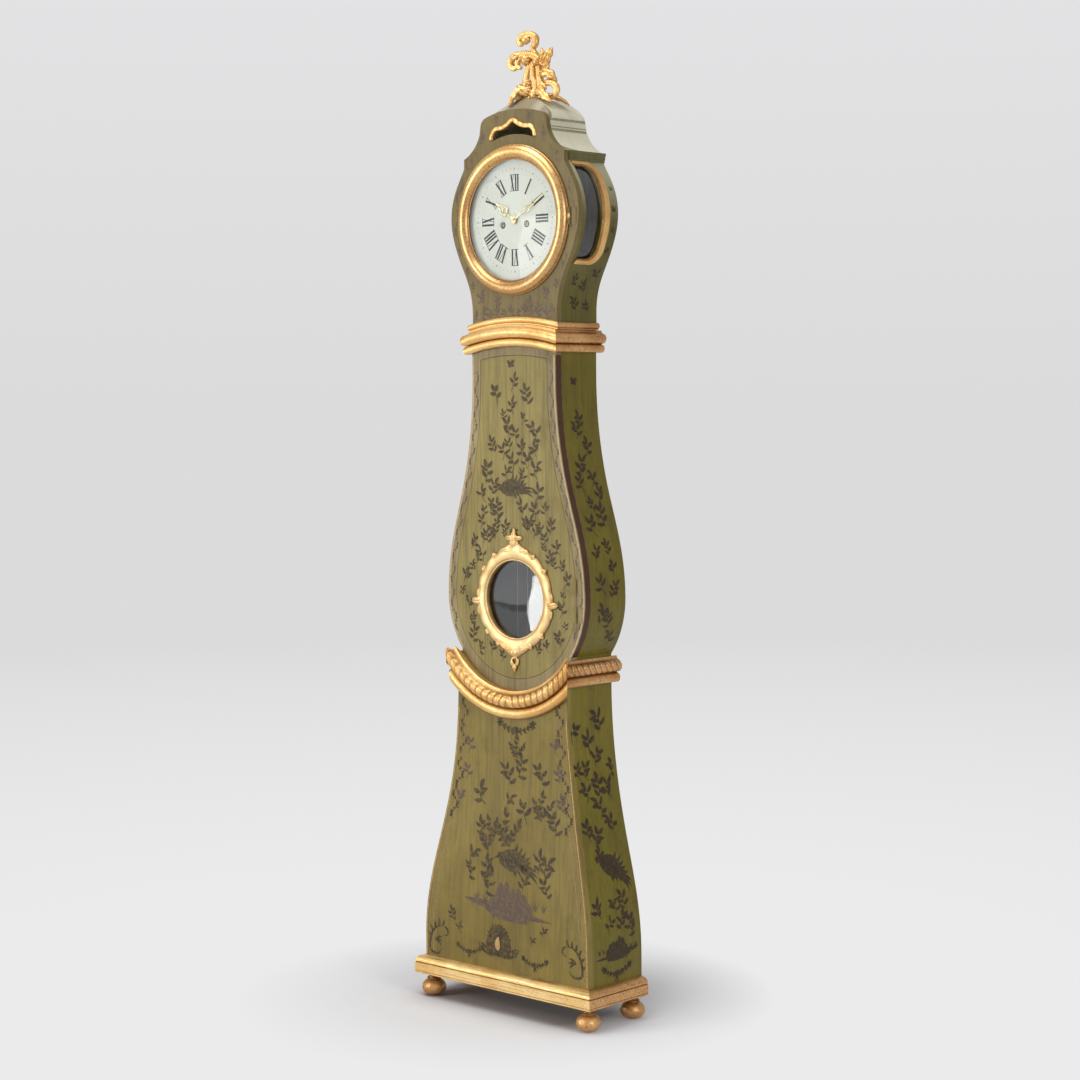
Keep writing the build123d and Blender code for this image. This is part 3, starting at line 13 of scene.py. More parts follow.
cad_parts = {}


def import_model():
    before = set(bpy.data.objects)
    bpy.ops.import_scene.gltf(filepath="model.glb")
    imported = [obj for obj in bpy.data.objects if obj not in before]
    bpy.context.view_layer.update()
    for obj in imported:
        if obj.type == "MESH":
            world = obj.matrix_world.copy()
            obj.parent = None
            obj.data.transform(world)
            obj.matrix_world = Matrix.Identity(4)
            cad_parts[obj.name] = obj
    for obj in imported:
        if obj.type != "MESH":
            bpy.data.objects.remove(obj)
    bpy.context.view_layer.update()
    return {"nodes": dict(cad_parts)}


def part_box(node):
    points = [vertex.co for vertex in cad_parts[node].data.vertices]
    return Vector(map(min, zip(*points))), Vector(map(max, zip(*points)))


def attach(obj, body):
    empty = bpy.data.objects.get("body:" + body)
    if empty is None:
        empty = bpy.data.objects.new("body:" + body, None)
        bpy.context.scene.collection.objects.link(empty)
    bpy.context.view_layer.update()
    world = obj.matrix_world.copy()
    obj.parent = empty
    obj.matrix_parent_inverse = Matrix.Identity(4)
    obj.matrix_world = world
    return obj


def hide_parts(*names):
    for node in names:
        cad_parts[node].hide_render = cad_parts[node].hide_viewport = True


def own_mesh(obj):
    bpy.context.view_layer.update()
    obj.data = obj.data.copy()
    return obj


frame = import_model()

BACK_Y = float(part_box("backboard")[1][1])
LOG = logging.getLogger("longcase_clock")
MERGED, SLIVER = 4e-6, 1e-6
Array = np.ndarray
Surface = tuple[Array, Array]
Point = tuple[float, float]
Triple = tuple[float, float, float]
Colour = Triple
Knots = Sequence[Sequence[float]]
Placer = Callable[[Array, Array, Array], Array]
Edges = Callable[[Array], tuple[Array, Array]]
Material = bpy.types.Material
Socket = bpy.types.NodeSocket


# ------------------------------------------------------------------ numbers and curves
def world(points: Array) -> Array:
    """Turns (x, depth, z) in millimetres into scene metres; depth runs forwards from the back.

    Args:
        points: any array whose last axis holds x, depth and z.

    Returns:
        An array of the same shape with x, y and z in metres.
    """
    out = points / 1000.0
    out[..., 1] = BACK_Y - out[..., 1]
    return out


def unit(vectors: Array) -> Array:
    """Vectors over their own lengths."""
    return vectors / np.maximum(np.linalg.norm(vectors, axis=-1, keepdims=True), 1e-9)


def smooth_path(knots: Knots, count: int) -> Array:
    """Smooth line through its knots.

    Between two knots the point is half of (2b + (c-a)t + (2a-5b+4c-d)t^2 + (3b-a-3c+d)t^3), where
    b and c are those knots and a and d the ones before and after.

    Args:
        knots: points of any dimension, at least two.
        count: number of points on the line.

    Returns:
        An array of count points.
    """
    p = np.asarray(knots, float)
    p = np.vstack([2 * p[0] - p[1], p, 2 * p[-1] - p[-2]])
    place = np.linspace(0, len(p) - 3, count)
    low = np.minimum(place.astype(int), len(p) - 4)
    t = (place - low)[:, None]
    a, b, c, d = p[low], p[low + 1], p[low + 2], p[low + 3]
    cubic = 3 * b - a - 3 * c + d
    return 0.5 * (2 * b + (c - a) * t + (2 * a - 5 * b + 4 * c - d) * t**2 + cubic * t**3)


def arc_through(a: Point, b: Point, c: Point, count: int) -> Array:
    """Circle arc from a over b to c: centre at equal distance from all three, angle run evenly.

    Args:
        a: first point.
        b: point on the way.
        c: last point.
        count: number of points.

    Returns:
        An array of count by 2.
    """
    (ax, ay), (bx, by), (cx, cy) = a, b, c
    rows = 2 * np.array([[bx - ax, by - ay], [cx - ax, cy - ay]])
    right = np.array([bx**2 + by**2 - ax**2 - ay**2, cx**2 + cy**2 - ax**2 - ay**2])
    centre = np.linalg.solve(rows, right)
    turns = np.unwrap([math.atan2(p[1] - centre[1], p[0] - centre[0]) for p in (a, b, c)])
    run = np.interp(np.linspace(0, 2, count), [0, 1, 2], turns)
    radius = math.hypot(ax - centre[0], ay - centre[1])
    return centre + radius * np.stack([np.cos(run), np.sin(run)], -1)


# ------------------------------------------------------------------ meshes
@dataclass
class Shell:
    """Surfaces of one piece, gathered before they become a mesh."""

    points: list[Array] = field(default_factory=list)
    relief: list[Array] = field(default_factory=list)
    faces: list[list[int]] = field(default_factory=list)
    count: int = 0

    def grid(
        self, points: Array, relief: Array | float = 0.7, wrap_u: bool = False, wrap_v: bool = False,
        caps: bool = False,
    ) -> None:
        """Adds a surface of two parameters: each point joins its neighbours along both.

        Args:
            points: n by m by 3, in millimetres.
            relief: how high the carving stands there, 0 in a hollow and 1 on a crest.
            wrap_u: the last row joins the first one.
            wrap_v: the last column joins the first one.
            caps: the first and last rows are closed with a face of their own.
        """
        n, m = points.shape[:2]
        index = self.count + np.arange(n * m).reshape(n, m)
        across = np.concatenate([index, index[:, :1]], 1) if wrap_v else index
        whole = np.concatenate([across, across[:1]], 0) if wrap_u else across
        quads = np.stack([whole[:-1, :-1], whole[1:, :-1], whole[1:, 1:], whole[:-1, 1:]], -1)
        self.faces += quads.reshape(-1, 4).tolist()
        if caps:
            self.faces += [index[0].tolist(), index[-1][::-1].tolist()]
        self.points.append(points.reshape(-1, 3))
        self.relief.append(np.broadcast_to(relief, (n, m)).reshape(-1))
        self.count += n * m

    def sheets(self, points: Array, relief: Array) -> None:
        """Adds many small open surfaces at once.

        Args:
            points: k by n by m by 3, in millimetres.
            relief: k by n by m.
        """
        k, n, m = points.shape[:3]
        index = self.count + np.arange(k * n * m).reshape(k, n, m)
        quads = np.stack([index[:, :-1, :-1], index[:, 1:, :-1], index[:, 1:, 1:], index[:, :-1, 1:]], -1)
        self.faces += quads.reshape(-1, 4).tolist()
        self.points.append(points.reshape(-1, 3))
        self.relief.append(relief.reshape(-1))
        self.count += k * n * m

    def piece(
        self, name: str, finish: Material, body: str, slot: str, nodes: Sequence[str] = (),
        sharp: float = 38.0, facing: Callable[[Array], Array] | None = None,
    ) -> bpy.types.Object:
        """Makes the mesh and its object, dresses it and ties it to a body.

        Args:
            name: name of the piece.
            finish: its material.
            body: the body it moves with.
            slot: a material slot's name; not used.
            nodes: the nodes it stands for.
            sharp: edges steeper than this many degrees stay crisp.
            facing: for an open sheet, the way each face should look, given the face centres.

        Returns:
            The new object, at the origin.
        """
        mesh = bpy.data.meshes.new(name)
        mesh.from_pydata(world(np.concatenate(self.points)).tolist(), [], self.faces)
        heights = mesh.attributes.new("relief", "FLOAT", "POINT")
        heights.data.foreach_set("value", np.concatenate(self.relief).astype(np.float32))
        form = bmesh.new()
        form.from_mesh(mesh)
        bmesh.ops.remove_doubles(form, verts=form.verts, dist=MERGED)
        bmesh.ops.dissolve_degenerate(form, edges=form.edges, dist=SLIVER)
        if facing is None:
            bmesh.ops.recalc_face_normals(form, faces=form.faces)
        form.to_mesh(mesh)
        form.free()
        if facing is not None:
            centres = np.empty(len(mesh.polygons) * 3, np.float32)
            mesh.polygons.foreach_get("center", centres)
            normals = np.empty(len(mesh.polygons) * 3, np.float32)
            mesh.polygons.foreach_get("normal", normals)
            looks = (normals.reshape(-1, 3) * facing(centres.reshape(-1, 3))).sum(-1)
            if looks.mean() < 0:
                mesh.flip_normals()
        mesh.polygons.foreach_set("use_smooth", np.ones(len(mesh.polygons), bool))
        mesh.set_sharp_from_angle(angle=math.radians(sharp))
        mesh.materials.append(finish)
        piece = bpy.data.objects.new(name, mesh)
        bpy.context.scene.collection.objects.link(piece)
        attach(piece, body)
        if nodes:
            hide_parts(*nodes)
        LOG.info("%s: %d faces on %s", name, len(mesh.polygons), body)
        return piece


def lathe(profile: Array, count: int, place: Placer) -> Array:
    """Turned surface: each (radius, height) of the profile goes once round its axis.

    Args:
        profile: m by 2, radius and height along the axis.
        count: steps round the axis.
        place: puts (radius cos a, radius sin a, height) where it belongs.

    Returns:
        count by m by 3.
    """
    turn = np.linspace(0, 2 * math.pi, count, endpoint=False)[:, None]
    radius, height = profile[:, 0][None], profile[:, 1][None]
    return place(radius * np.cos(turn), radius * np.sin(turn), height + 0 * turn)


def upright_at(x: float, depth: float, low: float) -> Placer:
    """Placer for a turned form that stands on the vertical through x and depth."""
    return lambda a, b, h: np.stack([x + a, depth + b, low + h], -1)


def facing_front(x: float, z: float) -> Placer:
    """Placer for a turned form whose axis runs forwards through x and z."""
    return lambda a, b, h: np.stack([x + a, h, z + b], -1)


def forwards(centres: Array) -> Array:
    """Way that the faces of a front look, whatever their centres."""
    return np.broadcast_to((0.0, -1.0, 0.0), centres.shape)


def strand(path: Array, widths: Array, depths: Array, lean: Triple, groove: float = 0.25) -> Surface:
    """Carved strand: an ellipse with a groove down its broad faces, carried along a path.

    At angle a round the section the point stands off by width cos a sideways and by
    depth sin a (1 - groove exp(-(cos a / 0.35)^2)) towards the lean direction.

    Args:
        path: n by 3.
        widths: half width at each point.
        depths: half thickness at each point.
        lean: direction that the broad faces look in.
        groove: share of the thickness cut away along the middle.

    Returns:
        The surface, n by 20 by 3, and its relief.
    """
    along = unit(np.gradient(path, axis=0))
    side = unit(np.cross(along, np.broadcast_to(np.asarray(lean, float), along.shape)))
    up = unit(np.cross(side, along))
    a = np.linspace(0, 2 * math.pi, 20, endpoint=False)
    cut = 1 - groove * np.exp(-((np.cos(a) / 0.35) ** 2))
    across = widths[:, None, None] * np.cos(a)[None, :, None] * side[:, None]
    proud = depths[:, None, None] * (np.sin(a) * cut)[None, :, None] * up[:, None]
    relief = np.broadcast_to(0.35 + 0.65 * (cut - 1 + groove) / max(groove, 1e-6), (len(path), 20))
    return path[:, None] + across + proud, relief


def taper(count: int, start: float, middle: float, end: float, tip: float = 0.12) -> Array:
    """Widths along a strand: start to middle to end, rounded off to nothing over the tips."""
    t = np.linspace(0, 1, count)
    body = np.interp(t, [0, 0.5, 1], [start, middle, end])
    rounded = lambda share: np.sqrt(np.clip(1 - np.clip(share, 0, 1) ** 2, 0, 1))
    return body * rounded(1 - t / tip) * rounded((t - 1 + tip) / tip)


def carved_leaf(spine: Array, width: float, height: float, lean: Triple, lobes: float = 3.0) -> Surface:
    """Carved leaf: closed form with a crowned, veined top, a lobed rim and a flat back.

    The half width at share u is width sin(pi u^0.8)^0.65 (1 + 0.14 cos(2 pi lobes u)). The top
    stands height (1 - v^2)^0.55 proud at v across, less a vein exp(-(v/0.13)^2) and ribs.

    Args:
        spine: n by 3, from stalk to tip.
        width: greatest half width.
        height: greatest height over the spine.
        lean: direction that the leaf's face looks in.
        lobes: number of lobes along the rim.

    Returns:
        The closed surface, n by m by 3, and its relief.
    """
    n = len(spine)
    u = np.linspace(0, 1, n)
    along = unit(np.gradient(spine, axis=0))
    side = unit(np.cross(along, np.broadcast_to(np.asarray(lean, float), along.shape)))
    up = unit(np.cross(side, along))
    lobed = 1 + 0.14 * np.cos(2 * math.pi * lobes * u)
    half = width * np.maximum(np.sin(math.pi * u**0.8), 0) ** 0.65 * lobed
    v = np.linspace(-1, 1, 17)
    ribs = 0.10 * np.cos(2 * math.pi * (lobes * 1.5 * u[:, None] + 1.2 * np.abs(v)[None]))
    crown = (1 - v**2) ** 0.55 * (1 - 0.45 * np.exp(-((v / 0.13) ** 2)))
    rise = np.maximum(np.sin(math.pi * u**0.7), 0)[:, None] ** 0.5 * (crown[None] * (1 + ribs))
    middle, half, side, up = spine[:, None], half[:, None, None], side[:, None], up[:, None]
    top = middle + half * v[None, :, None] * side + height * rise[..., None] * up
    back = middle + 0.9 * half * v[None, -2:0:-1, None] * side - 0.12 * height * up
    relief = np.concatenate([0.2 + 0.8 * rise, np.full((n, 15), 0.1)], 1)
    return np.concatenate([top, back], 1), relief


@dataclass
class Outline:
    """How wide a carried-over board is at each height, felt out from its own mesh."""

    heights: Array
    reach: Array

    @classmethod
    def of_side(cls, node: str, depth: float, low: float, high: float) -> "Outline":
        """Feels for the right-hand face along X at one depth; its reach is half a width."""
        return cls.felt(node, low, high, lambda z: Vector((1, BACK_Y - depth / 1000, z)), Vector((-1, 0, 0)))

    @classmethod
    def of_front(cls, node: str, x: float, low: float, high: float) -> "Outline":
        """Feels for the front face along Y at one x; its reach is a depth."""
        return cls.felt(node, low, high, lambda z: Vector((x / 1000, -1, z)), Vector((0, 1, 0)))

    @classmethod
    def level(cls, depth: float) -> "Outline":
        """A face at one depth at every height."""
        return cls(np.array([0.0, 3000.0]), np.array([depth, depth]))

    @classmethod
    def felt(
        cls, node: str, low: float, high: float, start: Callable[[float], Vector], way: Vector,
    ) -> "Outline":
        """Feels a node's surface at evenly spaced heights.

        Args:
            node: name of the node.
            low: lowest height.
            high: greatest height.
            start: where the feeler starts at a height in metres.
            way: its direction.

        Returns:
            Heights and reaches in millimetres, only where something was felt.
        """
        form = bmesh.new()
        form.from_mesh(frame["nodes"][node].data)
        tree = BVHTree.FromBMesh(form)
        heights = np.arange(low, high, 2.0)
        hits = [tree.ray_cast(start(z / 1000), way) for z in heights]
        form.free()
        found = [(z, hit[0]) for z, hit in zip(heights, hits) if hit[0] is not None]
        reach = [abs(p.x) * 1000 if way.x else (BACK_Y - p.y) * 1000 for _, p in found]
        return cls(np.array([z for z, _ in found]), np.array(reach))

    def at(self, z: Array) -> Array:
        """Reach at the given heights."""
        return np.interp(z, self.heights, self.reach)

    def slope(self, z: Array) -> Array:
        """Change of the reach per unit of height."""
        return (self.at(z + 4) - self.at(z - 4)) / 8


# ------------------------------------------------------------------ finishes
class Nodes:
    """Short way to write one material's node tree."""

    def __init__(self, name: str) -> None:
        """Starts an empty material with a principled shader.

        Args:
            name: name of the material.
        """
        self.material = bpy.data.materials.new(name)
        self.material.use_nodes = True
        self.tree = self.material.node_tree
        self.shader = self.tree.nodes["Principled BSDF"]
        self.coords = self.tree.nodes.new("ShaderNodeTexCoord").outputs["Object"]

    def set(self, **sockets: object) -> None:
        """Sets constants on the shader; underscores stand for spaces."""
        for name, value in sockets.items():
            socket = self.shader.inputs[name.replace("_", " ")]
            socket.default_value = (*value, 1.0) if isinstance(value, tuple) and len(value) == 3 else value

    def link(self, output: Socket, socket: Socket | str) -> None:
        """Joins an output to a socket, or to the shader's socket of that name."""
        self.tree.links.new(output, self.shader.inputs[socket] if isinstance(socket, str) else socket)

    def add(self, kind: str, inputs: dict[object, object], **props: object) -> bpy.types.Node:
        """Adds a node.

        Args:
            kind: node type without its ShaderNode prefix.
            inputs: socket names or numbers, with a value or an output to join.
            props: properties of the node.

        Returns:
            The node.
        """
        node = self.tree.nodes.new("ShaderNode" + kind)
        for name, value in props.items():
            setattr(node, name, value)
        for key, value in inputs.items():
            if isinstance(value, Socket):
                self.tree.links.new(value, node.inputs[key])
            else:
                node.inputs[key].default_value = value
        return node

    def stretched(self, scale: Sequence[float]) -> Socket:
        """Object coordinates scaled along each axis."""
        return self.add("Mapping", {"Vector": self.coords, "Scale": scale}).outputs[0]

    def noise(
        self, scale: float, detail: float = 4.0, vector: Socket | None = None, rough: float = 0.55,
    ) -> Socket:
        """Noise value on the object's coordinates."""
        inputs = {"Vector": vector or self.coords, "Scale": scale, "Detail": detail, "Roughness": rough}
        return self.add("TexNoise", inputs).outputs[0]

    def cracks(self, scale: float, vector: Socket | None = None) -> Socket:
        """Distance to the nearest crack of an irregular net."""
        inputs = {"Vector": vector or self.coords, "Scale": scale}
        return self.add("TexVoronoi", inputs, feature="DISTANCE_TO_EDGE").outputs["Distance"]

    def remap(
        self, value: Socket, low: float, high: float, to_low: float = 0.0, to_high: float = 1.0,
    ) -> Socket:
        """Clamped linear change of range."""
        inputs = {"Value": value, "From Min": low, "From Max": high, "To Min": to_low, "To Max": to_high}
        return self.add("MapRange", inputs).outputs[0]

    def mix(self, factor: Socket | float, a: object, b: object) -> Socket:
        """Mixes two colours, each a colour or an output."""
        node = self.add("Mix", {0: factor}, data_type="RGBA")
        for key, value in ((6, a), (7, b)):
            if isinstance(value, Socket):
                self.tree.links.new(value, node.inputs[key])
            else:
                node.inputs[key].default_value = (*value, 1.0)
        return node.outputs[2]

    def maths(self, operation: str, a: object, b: object = 0.0) -> Socket:
        """One arithmetic step."""
        return self.add("Math", {0: a, 1: b}, operation=operation).outputs[0]

    def attribute(self, name: str) -> Socket:
        """The piece's own attribute."""
        node = self.tree.nodes.new("ShaderNodeAttribute")
        node.attribute_name = name
        return node.outputs["Fac"]

    def height(self) -> Socket:
        """Height of a point over the floor, in metres."""
        return self.add("SeparateXYZ", {0: self.coords}).outputs[2]

    def bump(self, value: Socket, distance: float, strength: float = 1.0) -> None:
        """Bumps the shader's normal by a value times a distance in metres."""
        node = self.add("Bump", {"Height": value, "Distance": distance, "Strength": strength})
        self.link(node.outputs[0], "Normal")


class SkyNodes(Nodes):
    """The same for the light and backdrop of the world."""

    def __init__(self, name: str) -> None:
        """Starts the scene's world with its background shader.

        Args:
            name: name of the world.
        """
        sky = bpy.data.worlds.new(name)
        bpy.context.scene.world = sky
        sky.use_nodes = True
        self.tree = sky.node_tree
        self.shader = self.tree.nodes["Background"]
        self.coords = self.tree.nodes.new("ShaderNodeTexCoord").outputs["Generated"]


@dataclass(frozen=True)
class Gilding:
    """Water gilding over red bole: leaf worn on crests, darkened in hollows by dirt and by painted shade,
    with laps of leaf.
    """

    name: str
    leaf: Colour = (0.66, 0.36, 0.105)
    pale: Colour = (0.86, 0.56, 0.22)
    bole: Colour = (0.26, 0.085, 0.025)
    # colour of the carving's hollows: dirt and painted shade
    hollow_dirt_and_shade: Colour = (0.19, 0.080, 0.020)
    wear: float = 0.42
    rough: float = 0.34
    streaks: float = 0.0
    grain: float = 0.0009
    # painted shade: below the first height a share of a darker colour is mixed in, fading out by the second
    # height
    painted_shade_below: float = 0.0
    painted_shade_colour: Colour = (0.38, 0.19, 0.075)
    painted_shade_heights: tuple[float, float] = (2.10, 2.20)

    def build(self) -> Material:
        """Makes the material."""
        n = Nodes(self.name)
        relief = n.attribute("relief")
        patches = n.noise(9, 3)
        base = n.mix(n.remap(patches, 0.35, 0.65), self.leaf, self.pale)
        # low relief takes the hollow colour: dirt and painted shade
        hollow = n.remap(relief, 0.04, 0.62, 0.95, 0.0)
        uneven = n.remap(n.noise(60, 2), 0.3, 0.7, 0.7, 1.0)
        hollow_darkened = n.mix(n.maths("MULTIPLY", hollow, uneven), base, self.hollow_dirt_and_shade)
        fine = n.noise(170, 6, rough=0.7)
        rubbed = n.remap(fine, 1 - self.wear, 1 - self.wear + 0.09)
        colour = n.mix(n.maths("MULTIPLY", rubbed, 0.75), hollow_darkened, self.bole)
        if self.streaks:
            lines = n.noise(1.0, 5, n.stretched((6, 6, 420)))
            colour = n.mix(n.remap(lines, 0.55, 0.68, 0.0, self.streaks), colour, self.bole)
        # painted shade on the lower part
        if self.painted_shade_below:
            colour = n.mix(n.remap(n.height(), *self.painted_shade_heights, self.painted_shade_below, 0.0), colour, self.painted_shade_colour)
        n.link(colour, "Base Color")
        n.link(n.remap(fine, 0.3, 0.75, self.rough - 0.08, self.rough + 0.2), "Roughness")
        n.set(Metallic=0.72, Coat_Weight=0.12, Coat_Roughness=0.25)
        n.bump(n.maths("ADD", fine, n.maths("MULTIPLY", n.noise(45, 3), 1.5)), self.grain)
        return n.material


@dataclass(frozen=True)
class Japanning:
    """Varnished oil paint on wood: mottled ground, darkened streaks and fine crackle."""

    name: str
    ground: Colour = (0.185, 0.130, 0.018)
    light: Colour = (0.275, 0.205, 0.042)
    dark: Colour = (0.075, 0.048, 0.016)
    # paler colour towards the top, between the two heights: dust and painted glare
    glare_and_dust_top: Colour | None = None
    pale_from: float = 2.02
    pale_to: float = 2.20
    shade: float = 0.35
    rough: float = 0.40
    slope_tint: Colour | None = None
    slope_share: float = 0.92
    slope_foot: float = 0.135
    slope_climb: float = 0.87
    arch_half: float = 0.114
    arch_fall: float = 0.032
    arch_top: float = 2.313

    def on_slope(self, n: Nodes) -> Socket:
        """1 on the cap's sloping front: under an arch in the fourth power of x that climbs backwards."""
        x, y, z = n.add("SeparateXYZ", {0: n.coords}).outputs
        fourth = n.maths("POWER", n.maths("ABSOLUTE", n.maths("DIVIDE", x, self.arch_half)), 4.0)
        arch = n.maths("MULTIPLY", fourth, self.arch_fall)
        climb = n.maths("MULTIPLY", n.maths("ADD", y, self.slope_foot - BACK_Y), self.slope_climb)
        under = n.maths("SUBTRACT", n.maths("ADD", n.maths("SUBTRACT", z, self.arch_top), arch), climb)
        return n.remap(under, -0.006, -0.003)

    def build(self) -> Material:
        """Makes the material."""
        n = Nodes(self.name)
        broad = n.noise(3.2, 4)
        colour = n.mix(n.remap(broad, 0.38, 0.66), self.ground, self.light)
        streak = n.noise(1.0, 5, n.stretched((26, 26, 2.2)))
        colour = n.mix(n.remap(streak, 0.50, 0.74, 0.0, self.shade), colour, self.dark)
        fine = n.noise(1.0, 4, n.stretched((130, 130, 5)))
        colour = n.mix(n.remap(fine, 0.48, 0.72, 0.0, self.shade * 1.2), colour, self.dark)
        cloud = n.noise(14, 5, rough=0.65)
        colour = n.mix(n.remap(cloud, 0.54, 0.72, 0.0, self.shade * 0.9), colour, self.dark)
        # paler towards the top: dust and painted glare
        if self.glare_and_dust_top:
            colour = n.mix(n.remap(n.height(), self.pale_from, self.pale_to), colour, self.glare_and_dust_top)
        if self.slope_tint:
            share = n.maths("MULTIPLY", self.on_slope(n), self.slope_share)
            colour = n.mix(share, colour, self.slope_tint)
        net = n.cracks(210, n.stretched((1, 1, 0.55)))
        line = n.remap(net, 0.0, 0.05, 0.35, 0.0)
        colour = n.mix(n.maths("MULTIPLY", line, n.remap(broad, 0.4, 0.6)), colour, self.dark)
        n.link(colour, "Base Color")
        n.link(n.remap(cloud, 0.3, 0.7, self.rough - 0.07, self.rough + 0.13), "Roughness")
        n.set(Coat_Weight=0.12, Coat_Roughness=0.25, Specular_IOR_Level=0.28)
        n.bump(n.maths("ADD", n.maths("MULTIPLY", streak, 0.6), n.remap(net, 0.0, 0.06)), 0.00022)
        return n.material


@dataclass(frozen=True)
class PaintedStroke:
    """Thin brush stroke of dark glaze, uneven where the brush ran dry."""

    name: str
    paint: Colour = (0.036, 0.022, 0.013)
    thin: Colour = (0.120, 0.086, 0.026)
    rough: float = 0.42

    def build(self) -> Material:
        """Makes the material."""
        n = Nodes(self.name)
        dry = n.noise(120, 5, rough=0.7)
        vein = n.remap(n.attribute("relief"), 0.0, 1.0, 0.35, 0.0)
        share = n.maths("MINIMUM", n.maths("ADD", n.remap(dry, 0.44, 0.62, 0.0, 0.85), vein), 1.0)
        n.link(n.mix(share, self.paint, self.thin), "Base Color")
        n.link(n.remap(dry, 0.3, 0.7, self.rough - 0.08, self.rough + 0.12), "Roughness")
        n.set(Coat_Weight=0.06, Coat_Roughness=0.3, Specular_IOR_Level=0.2)
        n.bump(dry, 0.00015)
        return n.material


@dataclass(frozen=True)
class Metal:
    """Worked metal: turned or filed marks, tarnish in patches."""

    name: str
    colour: Colour
    tarnish: Colour
    rough: float = 0.30
    stretch: Triple = (30, 30, 30)

    def build(self) -> Material:
        """Makes the material."""
        n = Nodes(self.name)
        patches = n.noise(24, 4)
        n.link(n.mix(n.remap(patches, 0.48, 0.72, 0.0, 0.7), self.colour, self.tarnish), "Base Color")
        marks = n.noise(9.0, 4, n.stretched(self.stretch))
        n.link(n.remap(marks, 0.3, 0.7, self.rough - 0.07, self.rough + 0.12), "Roughness")
        n.set(Metallic=1.0)
        n.bump(marks, 0.00008)
        return n.material


@dataclass(frozen=True)
class BareWood:
    """Old unpainted softwood: long grain, growth lines and dust, with dark colours for old wood and for
    painted shade inside the case.
    """

    name: str
    early: Colour = (0.115, 0.066, 0.034)
    late: Colour = (0.050, 0.027, 0.013)

    def build(self) -> Material:
        """Makes the material."""
        n = Nodes(self.name)
        grain = n.noise(1.0, 6, n.stretched((55, 40, 3.0)))
        lines = n.maths("FRACT", n.maths("MULTIPLY", grain, 9.0))
        n.link(n.mix(n.remap(lines, 0.25, 0.95), self.early, self.late), "Base Color")
        n.link(n.remap(grain, 0.3, 0.7, 0.62, 0.82), "Roughness")
        n.set(Specular_IOR_Level=0.3)
        n.bump(lines, 0.00025)
        return n.material


@dataclass(frozen=True)
class Glass:
    """Old crown glass: clear, faintly tinted and slightly wavy."""

    name: str
    tint: Colour = (0.93, 0.96, 0.95)
    wave: float = 0.0004

    def build(self) -> Material:
        """Makes the material."""
        n = Nodes(self.name)
        n.set(Base_Color=self.tint, Roughness=0.0, IOR=1.45, Transmission_Weight=1.0)
        n.bump(n.noise(7, 1), self.wave)
        return n.material


@dataclass(frozen=True)
class DialPaint:
    """White painted dial with a faint green cast, age spots and hair cracks."""

    name: str
    white: Colour = (0.97, 0.95, 0.86)
    aged: Colour = (0.89, 0.86, 0.72)

    def build(self) -> Material:
        """Makes the material."""
        n = Nodes(self.name)
        colour = n.mix(n.remap(n.noise(12, 5), 0.42, 0.75, 0.0, 0.75), self.white, self.aged)
        net = n.cracks(38)
        colour = n.mix(n.remap(net, 0.0, 0.012, 0.25, 0.0), colour, (0.35, 0.33, 0.22))
        n.link(colour, "Base Color")
        n.link(n.remap(n.noise(30, 3), 0.3, 0.7, 0.28, 0.42), "Roughness")
        n.set(Coat_Weight=0.2, Coat_Roughness=0.15)
        n.bump(n.remap(net, 0.0, 0.02), 0.0001)
        return n.material


@dataclass(frozen=True)
class TwistedGut:
    """Gut line: straw brown with slanting strands."""

    name: str
    light: Colour = (0.46, 0.33, 0.17)
    dark: Colour = (0.22, 0.14, 0.06)

    def build(self) -> Material:
        """Makes the material."""
        n = Nodes(self.name)
        n.link(n.mix(n.remap(n.attribute("relief"), 0.2, 0.9), self.dark, self.light), "Base Color")
        n.link(n.remap(n.noise(400, 2), 0.3, 0.7, 0.45, 0.65), "Roughness")
        n.set(Sheen_Weight=0.1)
        return n.material


